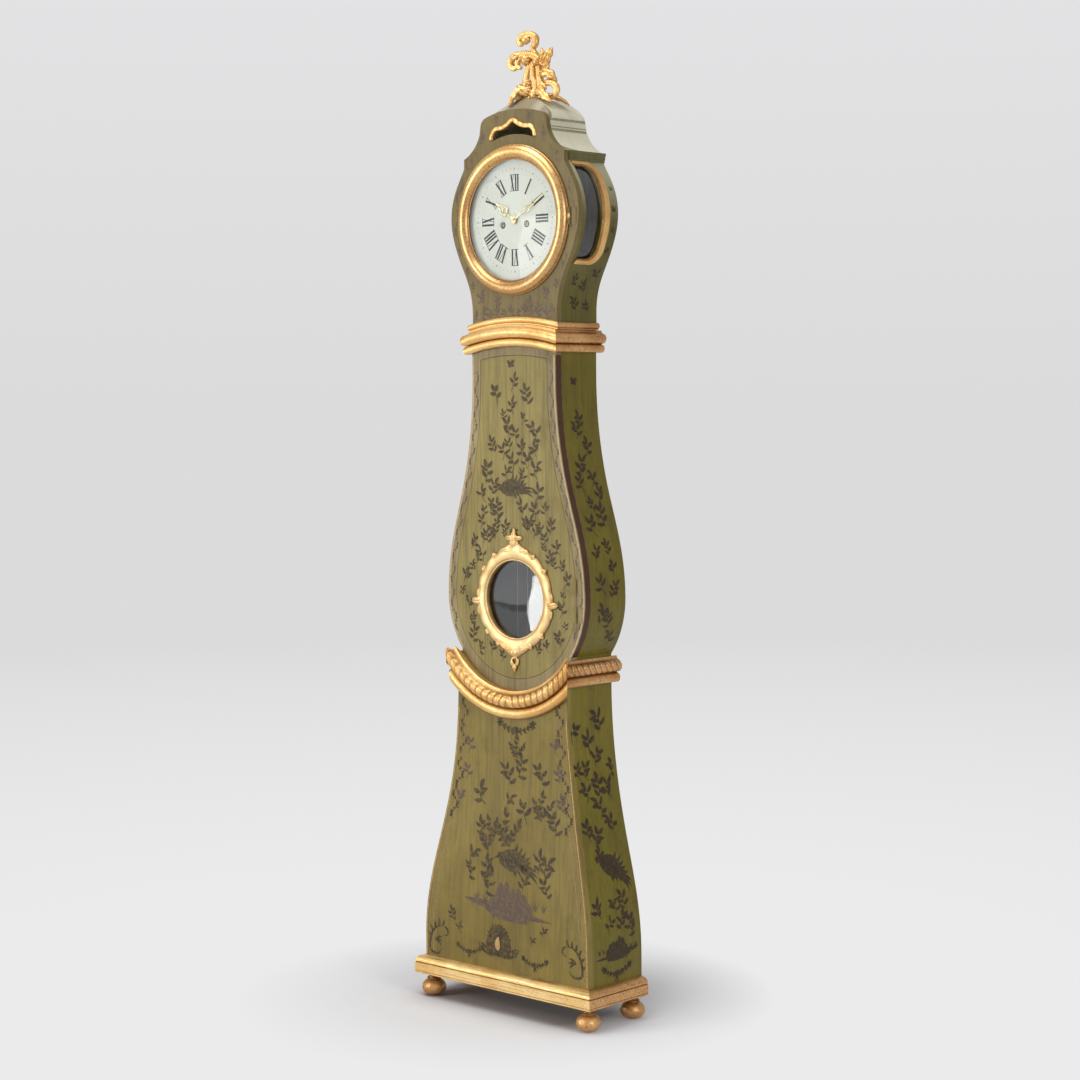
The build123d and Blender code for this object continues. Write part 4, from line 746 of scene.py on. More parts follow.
class Finishes:
    """Every finish of the clock, each made once."""

    def __init__(self) -> None:
        """Makes all materials."""
        self.gilt = Gilding("gilt_wood").build()
        self.gilt_board = Gilding(
            "gilt_plinth", leaf=(0.76, 0.46, 0.15), pale=(0.93, 0.67, 0.30), streaks=0.75,
        ).build()
        self.gilt_cream = Gilding(
            "gilt_cream", leaf=(0.78, 0.50, 0.20), pale=(0.93, 0.71, 0.36), wear=0.36,
        ).build()
        # darker copy of the gilding, a little more worn, for the side lengths and the feet: painted shade
        self.gilt_shaded = Gilding(
            "gilt_wood_worn_painted_shade", leaf=(0.52, 0.26, 0.085), pale=(0.72, 0.42, 0.17), wear=0.47,
        ).build()
        # the bezel's gilding is darker below its top part: painted shade
        self.gilt_ring = Gilding(
            "gilt_bezel", leaf=(0.62, 0.33, 0.10), pale=(0.82, 0.54, 0.22), wear=0.12, rough=0.27,
            grain=0.0003, painted_shade_below=0.5,
        ).build()
        self.front = Japanning("olive_front").build()
        self.door = Japanning(
            "olive_door", ground=(0.235, 0.180, 0.042), light=(0.330, 0.262, 0.078),
        ).build()
        self.hood_front = Japanning(
            "brown_olive_front", ground=(0.158, 0.114, 0.030), light=(0.228, 0.168, 0.058),
        ).build()
        # tan olive of the front frame, lighter than the door: its own colour with painted sheen
        self.border = Japanning(
            "olive_border_painted_sheen", ground=(0.235, 0.175, 0.070), light=(0.36, 0.285, 0.135), shade=0.4,
        ).build()
        # darker copy of the olive paint for the sides of base and trunk: painted shade
        self.side = Japanning(
            "olive_side_painted_shade", ground=(0.136, 0.106, 0.004), light=(0.200, 0.158, 0.009),
            dark=(0.055, 0.036, 0.004),
        ).build()
        # darker olive for the hood sides as painted shade; paler towards the top from dust and painted glare
        self.hood_side = Japanning(
            "olive_hood_side_painted_shade_and_glare", ground=(0.105, 0.088, 0.009), light=(0.155, 0.130, 0.020),
            dark=(0.05, 0.036, 0.010), glare_and_dust_top=(0.48, 0.45, 0.30),
        ).build()
        # pale roof: dust and painted glare, with its own darker colour on the cap's sloping front
        self.roof = Japanning(
            "roof_dust_and_painted_glare", ground=(0.60, 0.575, 0.43), light=(0.70, 0.67, 0.52), dark=(0.42, 0.39, 0.27),
            shade=0.22, slope_tint=(0.21, 0.165, 0.095),
        ).build()
        self.cornice = Japanning(
            "dark_cornice", ground=(0.115, 0.11, 0.035), light=(0.17, 0.16, 0.06),
        ).build()
        self.edge = Japanning(
            "brown_edge", ground=(0.060, 0.017, 0.004), light=(0.090, 0.028, 0.006),
            dark=(0.03, 0.010, 0.004),
        ).build()
        self.line = PaintedStroke(
            "rubbed_gilt_line", paint=(0.58, 0.36, 0.13), thin=(0.34, 0.22, 0.08), rough=0.35,
        ).build()
        self.tan = PaintedStroke("rubbed_edge", paint=(0.52, 0.39, 0.21), thin=(0.36, 0.28, 0.15)).build()
        self.stroke = PaintedStroke("dark_glaze").build()
        self.brown = PaintedStroke(
            "brown_glaze", paint=(0.030, 0.017, 0.009), thin=(0.070, 0.045, 0.016),
        ).build()
        self.violet = PaintedStroke(
            "violet_glaze", paint=(0.098, 0.062, 0.046), thin=(0.150, 0.105, 0.060),
        ).build()
        self.worn = PaintedStroke(
            "worn_streaks", paint=(0.30, 0.20, 0.095), thin=(0.21, 0.15, 0.035),
        ).build()
        # dark lines along the roof's steps: painted shade
        self.groove = PaintedStroke(
            "roof_step_shade", paint=(0.22, 0.20, 0.125), thin=(0.34, 0.32, 0.21),
        ).build()
        self.numeral = PaintedStroke(
            "numeral_black", paint=(0.018, 0.028, 0.022), thin=(0.06, 0.075, 0.06), rough=0.3,
        ).build()
        self.dial = DialPaint("dial_white").build()
        self.glass = Glass("crown_glass").build()
        self.brass = Metal("worked_brass", (0.66, 0.46, 0.18), (0.32, 0.20, 0.07)).build()
        self.bell = Metal("bell_bronze", (0.62, 0.46, 0.24), (0.35, 0.24, 0.11), rough=0.22).build()
        self.iron = Metal("dark_iron", (0.17, 0.16, 0.15), (0.09, 0.055, 0.035), rough=0.5).build()
        self.steel = Metal("grey_steel", (0.48, 0.49, 0.51), (0.26, 0.25, 0.24), rough=0.3).build()
        self.hand = Metal("hand_gilt", (0.74, 0.62, 0.36), (0.50, 0.40, 0.20), rough=0.32).build()
        self.wood = BareWood("bare_softwood").build()
        self.gut = TwistedGut("twisted_gut").build()


# ------------------------------------------------------------------ carved and gilded work
class Bend(Enum):
    """Which way the front length of a moulding curves."""

    ARCH = 1
    SWOOP = -1


def leaf_band(along: Array, across: Array, pitch: float, lean: float = 0.75) -> Array:
    """Row of carved leaves, as a height from 0 to about 1.

    Within one pitch c runs from -0.5 to 0.5, leaning over as across goes from 0 to 1. A leaf is
    0.46 sqrt(sin(pi across)) wide, domed as the root of 1 - (c/width)^2, less a vein, plus ribs.

    Args:
        along: distance along the moulding.
        across: share of the way over the round, 0 to 1.
        pitch: length of one leaf.
        lean: how far the leaves lean over.

    Returns:
        Height of the carving at each point.
    """
    c = (along / pitch + lean * (across - 0.5)) % 1.0 - 0.5
    width = 0.46 * np.sqrt(np.clip(np.sin(math.pi * np.clip(across, 0, 1)), 0.02, 1))
    dome = np.sqrt(np.clip(1 - (c / width) ** 2, 0, 1))
    vein = 0.45 * np.exp(-((c / 0.055) ** 2))
    ribs = 0.14 * np.cos(2 * math.pi * (3.2 * np.abs(c) + 2.2 * across))
    return dome * (1 - vein + ribs)


def side_lengths(section: tuple[Array, Array, Array], corner: Triple, steps: int) -> Shell:
    """Both side lengths of a moulding, straight from the back to their mitres.

    Args:
        section: rise, projection and relief round the closed section.
        corner: half width, depth of the front and height of the foot.
        steps: points along a length.

    Returns:
        A shell with both lengths.
    """
    rise, out, relief = section
    half, face, low = corner
    share = np.linspace(0, 1, steps)[:, None]
    shell = Shell()
    for hand in (1, -1):
        across = hand * (half + out) + 0 * share
        points = np.stack([across, share * (face + out), low + rise + 0 * share], -1)
        shell.grid(points, relief, wrap_v=True, caps=True)
    return shell


@dataclass
class CarvedMoulding:
    """Moulding of roll, quirk and carved round: a curved front length and two side lengths."""

    node: str
    body: str
    bend: Bend
    half: float
    face: float
    back: float
    low: float
    height: float
    front_height: float
    reach: float
    centre_z: float
    radius: float
    pitch: float
    carving: float
    # how far the carving's hollows darken: dirt and painted shade
    hollow_darkening: float = 0.85
    tail: tuple[Point, ...] = ()
    round_from: float = -76.0
    round_to: float = 80.0

    def section(self, height: float) -> tuple[Array, Array, Array, Array]:
        """Closed section of the moulding.

        The lower roll is a half ellipse about 0.19 of the height, the carved round one about 0.635
        of it, and a hollow slope leads up to the top.

        Args:
            height: height of the section.

        Returns:
            Rise, projection, share of the way over the round (-1 off it) and relief.
        """
        turn = np.radians(np.linspace(-90, 90, 9))
        roll = np.stack([0.19 + 0.18 * np.sin(turn), 0.32 + 0.42 * np.cos(turn)], -1)
        over = np.radians(np.linspace(self.round_from, self.round_to, 27))
        big = np.stack([0.635 + 0.225 * np.sin(over), 0.46 + 0.54 * np.cos(over)], -1)
        top = [[0.875, 0.42], [0.93, 0.30], [1.0, 0.24], [1.0, 0.0]]
        points = np.concatenate([[[0.0, 0.0]], roll, [[0.395, 0.26]], big, top]) * (height, self.reach)
        start = len(roll) + 2
        end = start + len(big)
        share = np.full(len(points), -1.0)
        share[start:end] = np.linspace(0, 1, len(big))
        relief = np.full(len(points), 0.75)
        relief[[0, 1, start - 2, start - 1, end]] = (0.1, 0.2, 0.15, 0.0, 0.1)
        return points[:, 0], points[:, 1], share, relief

    def carved(
        self, along: Array, rise: Array, out: Array, share: Array, relief: Array,
    ) -> tuple[Array, Array, Array]:
        """Lifts the round by its leaves.

        Args:
            along: n distances along the moulding, 0 at the corner or the middle.
            rise: m heights.
            out: m projections.
            share: m shares over the round.
            relief: m reliefs.

        Returns:
            n by m rise, projection and relief.
        """
        leaves = leaf_band(along[:, None], share[None], self.pitch)
        on = (share >= 0)[None] * np.sin(math.pi * np.clip(share, 0, 1))[None] ** 0.5
        lift = self.carving * on * (leaves - 0.75)
        span = self.round_to - self.round_from
        turn = np.radians(self.round_from + span * np.clip(share, 0, 1))[None]
        # low relief between the leaves, which the gilding darkens with dirt and painted shade
        height = np.where(share >= 0, 1 - self.hollow_darkening * (1 - leaves), relief[None])
        return rise[None] + lift * np.sin(turn), out[None] + lift * np.cos(turn), height

    def front(self) -> Surface:
        """Front length: the section swung round the bend's centre, to its mitres.

        Returns:
            The surface and its relief.
        """
        rise, out, share, relief = self.section(self.front_height)
        if self.tail:
            extra = np.array(self.tail)
            rise, out = np.concatenate([rise[:-1], extra[:, 0]]), np.concatenate([out[:-1], extra[:, 1]])
            share = np.concatenate([share[:-1], np.full(len(extra), -1.0)])
            relief = np.concatenate([relief[:-1], np.full(len(extra), 0.1)])
        u = np.linspace(-1, 1, 361)
        rough = self.radius + self.bend.value * self.front_height / 2
        length = rough * math.asin(self.half / rough)
        rise, out, relief = self.carved(np.abs(u) * length, rise, out, share, relief)
        radius = self.radius + self.bend.value * rise
        turn = u[:, None] * np.arcsin(np.clip((self.half + out) / radius, -1, 1))
        height = self.centre_z + self.bend.value * radius * np.cos(turn)
        return np.stack([radius * np.sin(turn), self.face + out, height], -1), relief

    def side(self, hand: int) -> Surface:
        """Side length from the back to its mitre.

        Args:
            hand: 1 for the right, -1 for the left.

        Returns:
            The surface and its relief.
        """
        rise, out, share, relief = self.section(self.height)
        u = np.linspace(0, 1, 150)
        rise, out, relief = self.carved((1 - u) * (self.face - self.back), rise, out, share, relief)
        depth = self.back + u[:, None] * (self.face + out - self.back)
        return np.stack([hand * (self.half + out), depth, self.low + rise], -1), relief

    def build(self, finishes: Finishes) -> None:
        """Makes the front length, and both side lengths as one piece."""
        front = Shell()
        front.grid(*self.front(), wrap_v=True, caps=True)
        front.piece(f"{self.node}_front", finishes.gilt, self.body, "gilded_wood", [self.node], 50)
        sides = Shell()
        for hand in (1, -1):
            sides.grid(*self.side(hand), wrap_v=True, caps=True)
        # side lengths in the darker gilding: painted shade
        sides.piece(f"{self.node}_sides", finishes.gilt_shaded, self.body, "gilded_wood", [self.node], 50)


@dataclass
class HoodBead:
    """Half-round bead under the hood, arched at the front."""

    half: float = 148.0
    face: float = 149.0
    low: float = 1754.0
    height: float = 19.0
    reach: float = 11.0
    centre_z: float = 1077.6
    radius: float = 693.4

    def section(self) -> tuple[Array, Array]:
        """Fillet, half round and top quirk: rise, projection."""
        turn = np.radians(np.linspace(-75, 90, 13))
        rise = np.concatenate([[0, 0, 2.2, 2.2], 10.4 + 8.2 * np.sin(turn), [self.height]])
        out = np.concatenate([[0, 7.0, 7.0, 4.5], 2.2 + (self.reach - 2.2) * np.cos(turn), [0.0]])
        return rise, out

    def build(self, finishes: Finishes) -> None:
        """Makes the front and the sides."""
        rise, out = self.section()
        relief = np.clip(out / self.reach, 0, 1)
        u = np.linspace(-1, 1, 121)[:, None]
        turn = u * np.arcsin((self.half + out) / (self.radius + rise))
        height = self.centre_z + (self.radius + rise) * np.cos(turn)
        front = Shell()
        points = np.stack([(self.radius + rise) * np.sin(turn), self.face + out + 0 * turn, height], -1)
        front.grid(points, relief, wrap_v=True, caps=True)
        front.piece("hood_bead_front", finishes.gilt, "hood", "gilded_wood", ["hood_base_bead"])
        sides = side_lengths((rise, out, relief), (self.half, self.face, self.low), 41)
        # side lengths in the darker gilding: painted shade
        sides.piece("hood_bead_sides", finishes.gilt_shaded, "hood", "gilded_wood", ["hood_base_bead"])


@dataclass
class Plinth:
    """Gilded plinth: a frame under the base with a broad face, a quirk and a rounded top."""

    half: float = 289.0
    face: float = 203.0
    low: float = 61.0
    height: float = 47.0
    reach: float = 22.0
    flange: float = 44.0
    flange_height: float = 11.0

    def section(self) -> tuple[Array, Array, Array]:
        """Closed section: rise, projection and relief, dark in its quirks."""
        turn = np.radians(np.linspace(0, 78, 9))
        foot = [(0, -self.flange), (0, 20.6), (1.2, 21.8), (4.5, 22.0), (5.6, 20.6), (6.6, 22.0)]
        face = [(27.0, 22.0), (28.5, 19.4), (30.2, 19.4)]
        crown = np.stack([31.0 + 15.0 * np.sin(turn), 5.0 + (self.reach - 5.5) * np.cos(turn)], -1)
        under = [(self.flange_height, 0.0), (self.flange_height, -self.flange)]
        back = [(self.height, 5.0), (self.height, 0.0), *under]
        rise, out = np.concatenate([foot, face, crown, back]).T
        relief = np.where(np.isin(np.arange(len(rise)), [4, 7, 8]), 0.05, 0.8)
        return rise, out, relief

    def build(self, finishes: Finishes) -> None:
        """Makes the front length, and both side lengths as one piece."""
        rise, out, relief = self.section()
        u = np.linspace(-1, 1, 61)[:, None]
        front = Shell()
        points = np.stack([u * (self.half + out), self.face + out + 0 * u, self.low + rise + 0 * u], -1)
        front.grid(points, relief, wrap_v=True, caps=True)
        front.piece("plinth_front", finishes.gilt_board, "case", "gilded_wood", ["plinth_moulding"])
        sides = side_lengths((rise, out, relief), (self.half, self.face, self.low), 31)
        # side lengths in the darker gilding: painted shade
        sides.piece("plinth_sides", finishes.gilt_shaded, "case", "gilded_wood", ["plinth_moulding"])


@dataclass
class BallFeet:
    """Four turned ball feet with a collar, a neck and a pad."""

    places: tuple[Point, ...] = ((-275, 20), (275, 20), (-275, 189), (275, 189))
    ball: float = 32.0
    flat: float = 14.4
    pad: float = 21.0
    height: float = 61.0

    def section(self) -> Array:
        """Radius and height: flat, flattened ball struck 22 mm up, collar, neck, pad."""
        turn = np.radians(np.linspace(-62, 62, 26))
        ball = np.stack([self.ball * np.cos(turn) ** 0.85, 22.0 + 23.5 * np.sin(turn)], -1)
        ball[0, 1] = 0.0
        collar = [[17.4, 43.6], [18.6, 45.2], [18.4, 47.2], [15.2, 48.6], [14.0, 51.4], [15.4, 54.8]]
        edge = [[self.pad - 1, 55.6], [self.pad, 56.4], [self.pad, 60.4], [self.pad - 0.8, self.height]]
        sole = [[0.0, 0.0], [self.flat, 0.0]]
        return np.concatenate([sole, ball[1:], collar, edge, [[0.0, self.height]]])

    def build(self, finishes: Finishes) -> None:
        """Turns all four feet."""
        shell = Shell()
        section = self.section()
        # relief by height: high round the ball's middle as a painted highlight, low at the collar, neck and
        # pad as painted shadow under the plinth
        relief = np.interp(section[:, 1], [0, 24, 40, 44, 50, 61], [0.5, 1.0, 0.55, 0.1, 0.0, 0.0])
        for x, depth in self.places:
            shell.grid(lathe(section, 56, upright_at(x, depth, 0)), relief, wrap_u=True)
        # feet in the darker gilding: painted shade
        shell.piece("ball_feet", finishes.gilt_shaded, "case", "gilded_wood", ["bun_feet"])


@dataclass
class WindowFrame:
    """Carved frame of the trunk's window: lobed ring, crest, ears, pointed foot and husk."""

    z: float = 1067.0
    sight: float = 100.0
    hole: float = 105.6
    rim: float = 131.0
    seat: float = 144.2
    face: float = 154.0
    relief: float = 10.0
    lean: Triple = (0.0, 1.0, 0.0)

    def ring(self, shell: Shell) -> None:
        """Ring in polar form: inner bead, quirk, then a fluted leaf edge with lobes.

        The outer radius is the rim less 1 plus 3.6 |sin 7a|^0.6, with a tent over crest and foot.

        Args:
            shell: where the surface goes.
        """
        a = np.linspace(0, 2 * math.pi, 504, endpoint=False)[:, None]
        lobes = np.abs(np.sin(7 * (a - math.pi / 2))) ** 0.6
        from_top = np.abs((a - math.pi / 2 + math.pi) % (2 * math.pi) - math.pi)
        tent = lambda away, width: np.exp(-((away / width) ** 1.3))
        swell = 22 * tent(from_top, 0.17) + 20 * tent(math.pi - from_top, 0.20)
        outer = self.rim - 1.0 + 3.6 * lobes + swell
        bead = np.radians(np.linspace(0, 180, 9))[None]
        bead_r = self.sight + 2.0 - 2.0 * np.cos(bead) + 0 * a
        bead_h = self.face + 1.6 + 2.6 * np.sin(bead) + 0.3 * np.sin(60 * a) * np.sin(bead)
        s = np.linspace(0, 1, 15)[None]
        leaf_r = self.sight + 4.6 + (outer - self.sight - 4.6) * s
        flutes = 0.84 + 0.16 * np.cos(14 * (a - math.pi / 2) + 2.2 * s) * s
        leaf_h = self.face + 1.2 + (self.relief - 2.0) * np.sin(math.pi * (0.14 + 0.80 * s)) ** 0.75 * flutes
        none = 0 * a
        hole, sight, seat, face = (none + value for value in (self.hole, self.sight, self.seat, self.face))
        radius = np.concatenate([hole, sight, bead_r, leaf_r, outer, hole], 1)
        height = np.concatenate([seat, seat, bead_h, leaf_h, face, face], 1)
        crown = flutes * np.sin(math.pi * (0.14 + 0.8 * s))
        carve = np.concatenate([none, none, 0.45 + 0.55 * np.sin(bead) + none, crown, none, none], 1)
        points = np.stack([radius * np.cos(a), height, self.z + radius * np.sin(a)], -1)
        shell.grid(points, carve, wrap_u=True, wrap_v=True)

    def leaf(self, shell: Shell, knots: Knots, width: float, height: float, lobes: float) -> None:
        """Adds one leaf whose spine runs through (x, z, lift) knots."""
        path = smooth_path(knots, 30)
        spine = np.stack([path[:, 0], self.face + path[:, 2], self.z + path[:, 1]], -1)
        shell.grid(*carved_leaf(spine, width, height, self.lean, lobes), wrap_v=True)

    def curl(self, shell: Shell, knots: Knots, width: float, height: float) -> None:
        """Adds one scroll strand through (x, z, lift) knots."""
        path = smooth_path(knots, 36)
        line = np.stack([path[:, 0], self.face + path[:, 2], self.z + path[:, 1]], -1)
        widths = taper(36, width, width * 0.9, width * 0.6)
        shell.grid(*strand(line, widths, height * widths / width, self.lean), wrap_v=True)

    def ornaments(self, shell: Shell) -> None:
        """Crest, ears, foot and husk: leaves and scrolls in pairs, then the leaves in the middle."""
        top, ear = self.rim, self.rim - 2
        pairs = [
            ([(1, top + 26, 2), (16, top + 27, 5), (31, top + 27, 2)], 7.5, 6, 1),
            ([(3, top + 2, 1), (9, top + 12, 3), (7, top + 24, 1)], 8, 5, 1),
            ([(8, top - 6, 2), (36, top - 6, 4), (60, top - 22, 1)], 7.5, 5.5, 3),
            ([(ear - 14, -10, 2), (ear + 6, -9, 6), (ear + 23, -8, 2)], 10.5, 7.5, 1),
            ([(ear - 8, -2, 1), (ear - 1, 10, 3), (ear - 3, 24, 1)], 6.5, 4.5, 1),
            ([(ear - 8, -20, 1), (ear - 2, -32, 3), (ear - 7, -48, 1)], 6.5, 4.5, 1),
            ([(6, 4 - top, 2), (34, 8 - top, 4), (62, 26 - top, 1)], 7.5, 5.5, 3),
            ([(1, -top - 41, 1), (9, -top - 33, 3.5), (12, -top - 20, 1)], 4.5, 4.2, 2),
        ]
        for turn, size in ((0.62, 8), (1.02, 7), (-0.75, 8), (-1.12, 7)):
            c, s = math.cos(turn), math.sin(turn)
            knots = [(c * (top + out), s * (top + out), lift) for out, lift in ((-10, 2), (-1, 5), (7, 2))]
            pairs.append((knots, size, 5.5, 2))
        scrolls = [
            ([(10, top + 8, 2.5), (24, top, 4), (34, top - 8, 3), (24, top - 14, 3)], 3.2, 3.4),
            ([(2, -top - 17, 1.5), (8, -top - 22, 3), (9, -top - 30, 3), (3, -top - 37, 2)], 2.2, 2.8),
        ]
        for hand in (1, -1):
            for knots, *sizes in pairs:
                self.leaf(shell, [(hand * x, z, lift) for x, z, lift in knots], *sizes)
            for knots, *sizes in scrolls:
                self.curl(shell, [(hand * x, z, lift) for x, z, lift in knots], *sizes)
        for heights, *sizes in (
            (((top - 8, 1.5), (top + 20, 4.5), (top + 54, 2)), 11, 6.5, 3),
            (((8 - top, 2), (-top - 6, 4.5), (-top - 16, 1)), 13, 6.0, 2),
            (((-top - 35, 1.5), (-top - 44, 4), (-top - 56, 1)), 6.5, 5, 2),
            (((-top - 14, 1), (-top - 19, 3), (-top - 24, 1)), 4, 3.5, 1),
        ):
            self.leaf(shell, [(0, *knot) for knot in heights], *sizes)

    def build(self, finishes: Finishes) -> None:
        """Makes the frame as one piece."""
        shell = Shell()
        self.ring(shell)
        self.ornaments(shell)
        shell.piece("window_frame_carved", finishes.gilt_cream, "door", "gilded_wood", ["window_frame"], 60)


@dataclass
class SideLightLoops:
    """Gilt loops round the side lights, open towards the front, crowned and bent with the sides."""

    low: float = 1930.0
    high: float = 2160.0
    back: float = 61.0
    front: float = 121.0
    corner: float = 26.0
    band_back: float = 30.0
    band_front: float = 5.0
    band_top: float = 14.0
    relief: float = 5.0
    per_corner: int = 16

    def loop(self, grow: float) -> Array:
        """Rounded oblong as (depth, z): straight runs joined by quarter circles.

        Args:
            grow: 0 for the sight edge, 1 for the outer edge of the band.

        Returns:
            Points of the loop, in order.
        """
        back, front = self.back - grow * self.band_back, self.front + grow * self.band_front
        low, high = self.low - grow * self.band_top, self.high + grow * self.band_top
        big, small = self.corner + grow * self.band_top, 2.0 + grow * 2
        runs = []
        for depth, z, radius, start in (
            (back + big, low + big, big, 180), (front - small, low + small, small, 270),
            (front - small, high - small, small, 0), (back + big, high - big, big, 90),
        ):
            turn = np.radians(np.linspace(start, start + 90, self.per_corner))
            runs.append(np.stack([depth + radius * np.cos(turn), z + radius * np.sin(turn)], -1))
        opened = np.concatenate([*runs[2:], *runs[:2]])
        last = len(opened) - 1
        steps = np.linspace(0, last, 8 * last + 1)
        at = np.minimum(steps.astype(int), last - 1)
        share = (steps - at)[:, None]
        return opened[at] * (1 - share) + opened[at + 1] * share

    def build(self, finishes: Finishes, hood: Outline) -> None:
        """Lays both loops on the hood's sides.

        Args:
            finishes: the finishes.
            hood: outline of the hood's side.
        """
        v = np.linspace(0, 1, 15)
        inner, outer = self.loop(0.0), self.loop(1.0)
        flat = inner[:, None] * (1 - v)[None, :, None] + outer[:, None] * v[None, :, None]
        quirk = 1 - 0.25 * np.exp(-(((v - 0.72) / 0.06) ** 2))
        lift = self.relief * np.sin(math.pi * (0.06 + 0.88 * v)) ** 0.6 * quirk
        lift = np.broadcast_to(lift, flat.shape[:2])
        shape = np.concatenate([flat, flat[:, -1:], flat[:, :1]], 1)
        lift = np.concatenate([lift, np.full((len(flat), 2), -0.05)], 1)
        shown = np.clip(lift[:, :-2] / self.relief, 0, 1) * np.clip((v - 0.16) / 0.22, 0, 1)
        relief = np.concatenate([shown, np.zeros((len(flat), 2))], 1)
        slope = hood.slope(shape[..., 1])
        steep = np.sqrt(1 + slope**2)
        shell = Shell()
        for hand in (1, -1):
            x = hand * (hood.at(shape[..., 1]) + lift / steep)
            z = shape[..., 1] - lift * slope / steep
            shell.grid(np.stack([x, shape[..., 0], z], -1), relief, wrap_v=True, caps=True)
        shell.piece("side_light_loops", finishes.gilt, "hood", "gilded_wood", ["side_light_frames"])


@dataclass
class ApertureBorder:
    """Scalloped gilt bead over the opening in the pediment."""

    half: float = 70.0
    struck: float = 216.0
    dial_z: float = 2034.0
    shoulder: tuple[float, float] = (46.0, 2262.0)
    apex: float = 2282.0
    width: float = 12.0
    face: float = 149.0
    relief: float = 5.0

    def build(self, finishes: Finishes) -> None:
        """Carries a half-round section along the opening's upper edge, out over each scallop."""
        foot = self.dial_z + math.sqrt(self.struck**2 - self.half**2)
        x, z = self.shoulder
        rise = arc_through((self.half, foot + 3), (self.half - 4, (foot + z) / 2 + 5), (x, z), 40)
        dip = arc_through((x, z), (x * 0.44, z + 7), (0, self.apex), 60)
        right = np.concatenate([rise, dip[1:]])
        line = np.concatenate([right, (right * (-1, 1))[::-1][1:]])
        along = unit(np.gradient(line, axis=0))
        normal = np.stack([along[:, 1], -along[:, 0]], -1)
        run = np.concatenate([[0], np.cumsum(np.linalg.norm(np.diff(line, axis=0), axis=1))])
        from_middle = np.abs(run - run[-1] / 2)
        scallop = np.abs(np.sin(math.pi * from_middle / 19.0)) ** 0.5
        turn = np.radians(np.linspace(0, 180, 13))
        wide = (self.width * (0.80 + 0.20 * scallop))[:, None]
        out = wide * (0.5 - 0.5 * np.cos(turn))[None]
        lift = self.relief * np.sin(turn)[None] ** 0.7 * (0.8 + 0.2 * scallop)[:, None]
        across = line[:, None] + normal[:, None] * out[..., None]
        points = np.stack([across[..., 0], self.face + lift, across[..., 1]], -1)
        shell = Shell()
        shell.grid(points, np.broadcast_to(0.2 + 0.8 * np.sin(turn), lift.shape), wrap_v=True, caps=True)
        shell.piece("aperture_border", finishes.gilt, "hood", "gilded_wood", ["aperture_moulding"])


@dataclass
class Bezel:
    """Turned bezel with a seat for its glass, and the knuckle it swings on."""

    z: float = 2034.0
    outer: float = 191.0
    inner: float = 153.0
    glass: float = 159.5
    near: float = 149.5
    height: float = 19.0
    seat: float = 5.5
    hinge: Triple = (195.0, 153.0, 3.5)
    hinge_length: float = 42.0
    bore: float = 1.55

    def build(self, finishes: Finishes) -> None:
        """Turns the ring and adds its knuckle and tongue."""
        turn = np.radians(np.linspace(0, 180, 41))
        width = self.outer - self.inner
        radius = self.inner + width * (0.52 + 0.42 * np.cos(turn))
        high = self.near + 5 + (self.height - 5) * np.sin(turn)
        near, outer = self.near, self.outer
        foot = [[self.glass, near], [outer - 1, near], [outer, near + 0.8]]
        brim = [[outer, near + 3.6], [outer - 0.8, near + 4.4]]
        lip = [[self.inner + 1.4, near + 6.6], [self.inner + 0.2, near + 6.2]]
        rebate = [[self.inner, near + self.seat], [self.glass, near + self.seat]]
        section = np.concatenate([foot, brim, np.stack([radius, high], -1), lip, rebate])
        shell = Shell()
        # relief low at the ring's foot against the board, which the gilding darkens: painted shade
        relief = np.interp(section[:, 1], [near, near + 6, near + 14], [0.1, 0.4, 1.0])
        shell.grid(lathe(section, 160, facing_front(0, self.z)), relief, wrap_u=True, wrap_v=True)
        x, depth, radius = self.hinge
        third = self.hinge_length / 6 - 0.2
        lower = [[self.bore, -third], [radius - 0.3, -third], [radius, 0.3 - third]]
        barrel = np.array(lower + [[a, -b] for a, b in reversed(lower)])
        shell.grid(lathe(barrel, 32, upright_at(x, depth, self.z)), 0.8, wrap_u=True, wrap_v=True)
        back, front = depth - 1.2, depth + 1.2
        edge = [(outer - 3, back), (x - 2.2, back), (x - 2.2, front), (outer - 3, front)]
        tongue = np.array([[(a, d, self.z + h) for a, d in edge] for h in (-third, third)])
        shell.grid(tongue, 0.8, wrap_v=True, caps=True)
        shell.piece("bezel_turned", finishes.gilt_ring, "bezel", "gilt_brass", ["bezel_ring"], sharp=45)


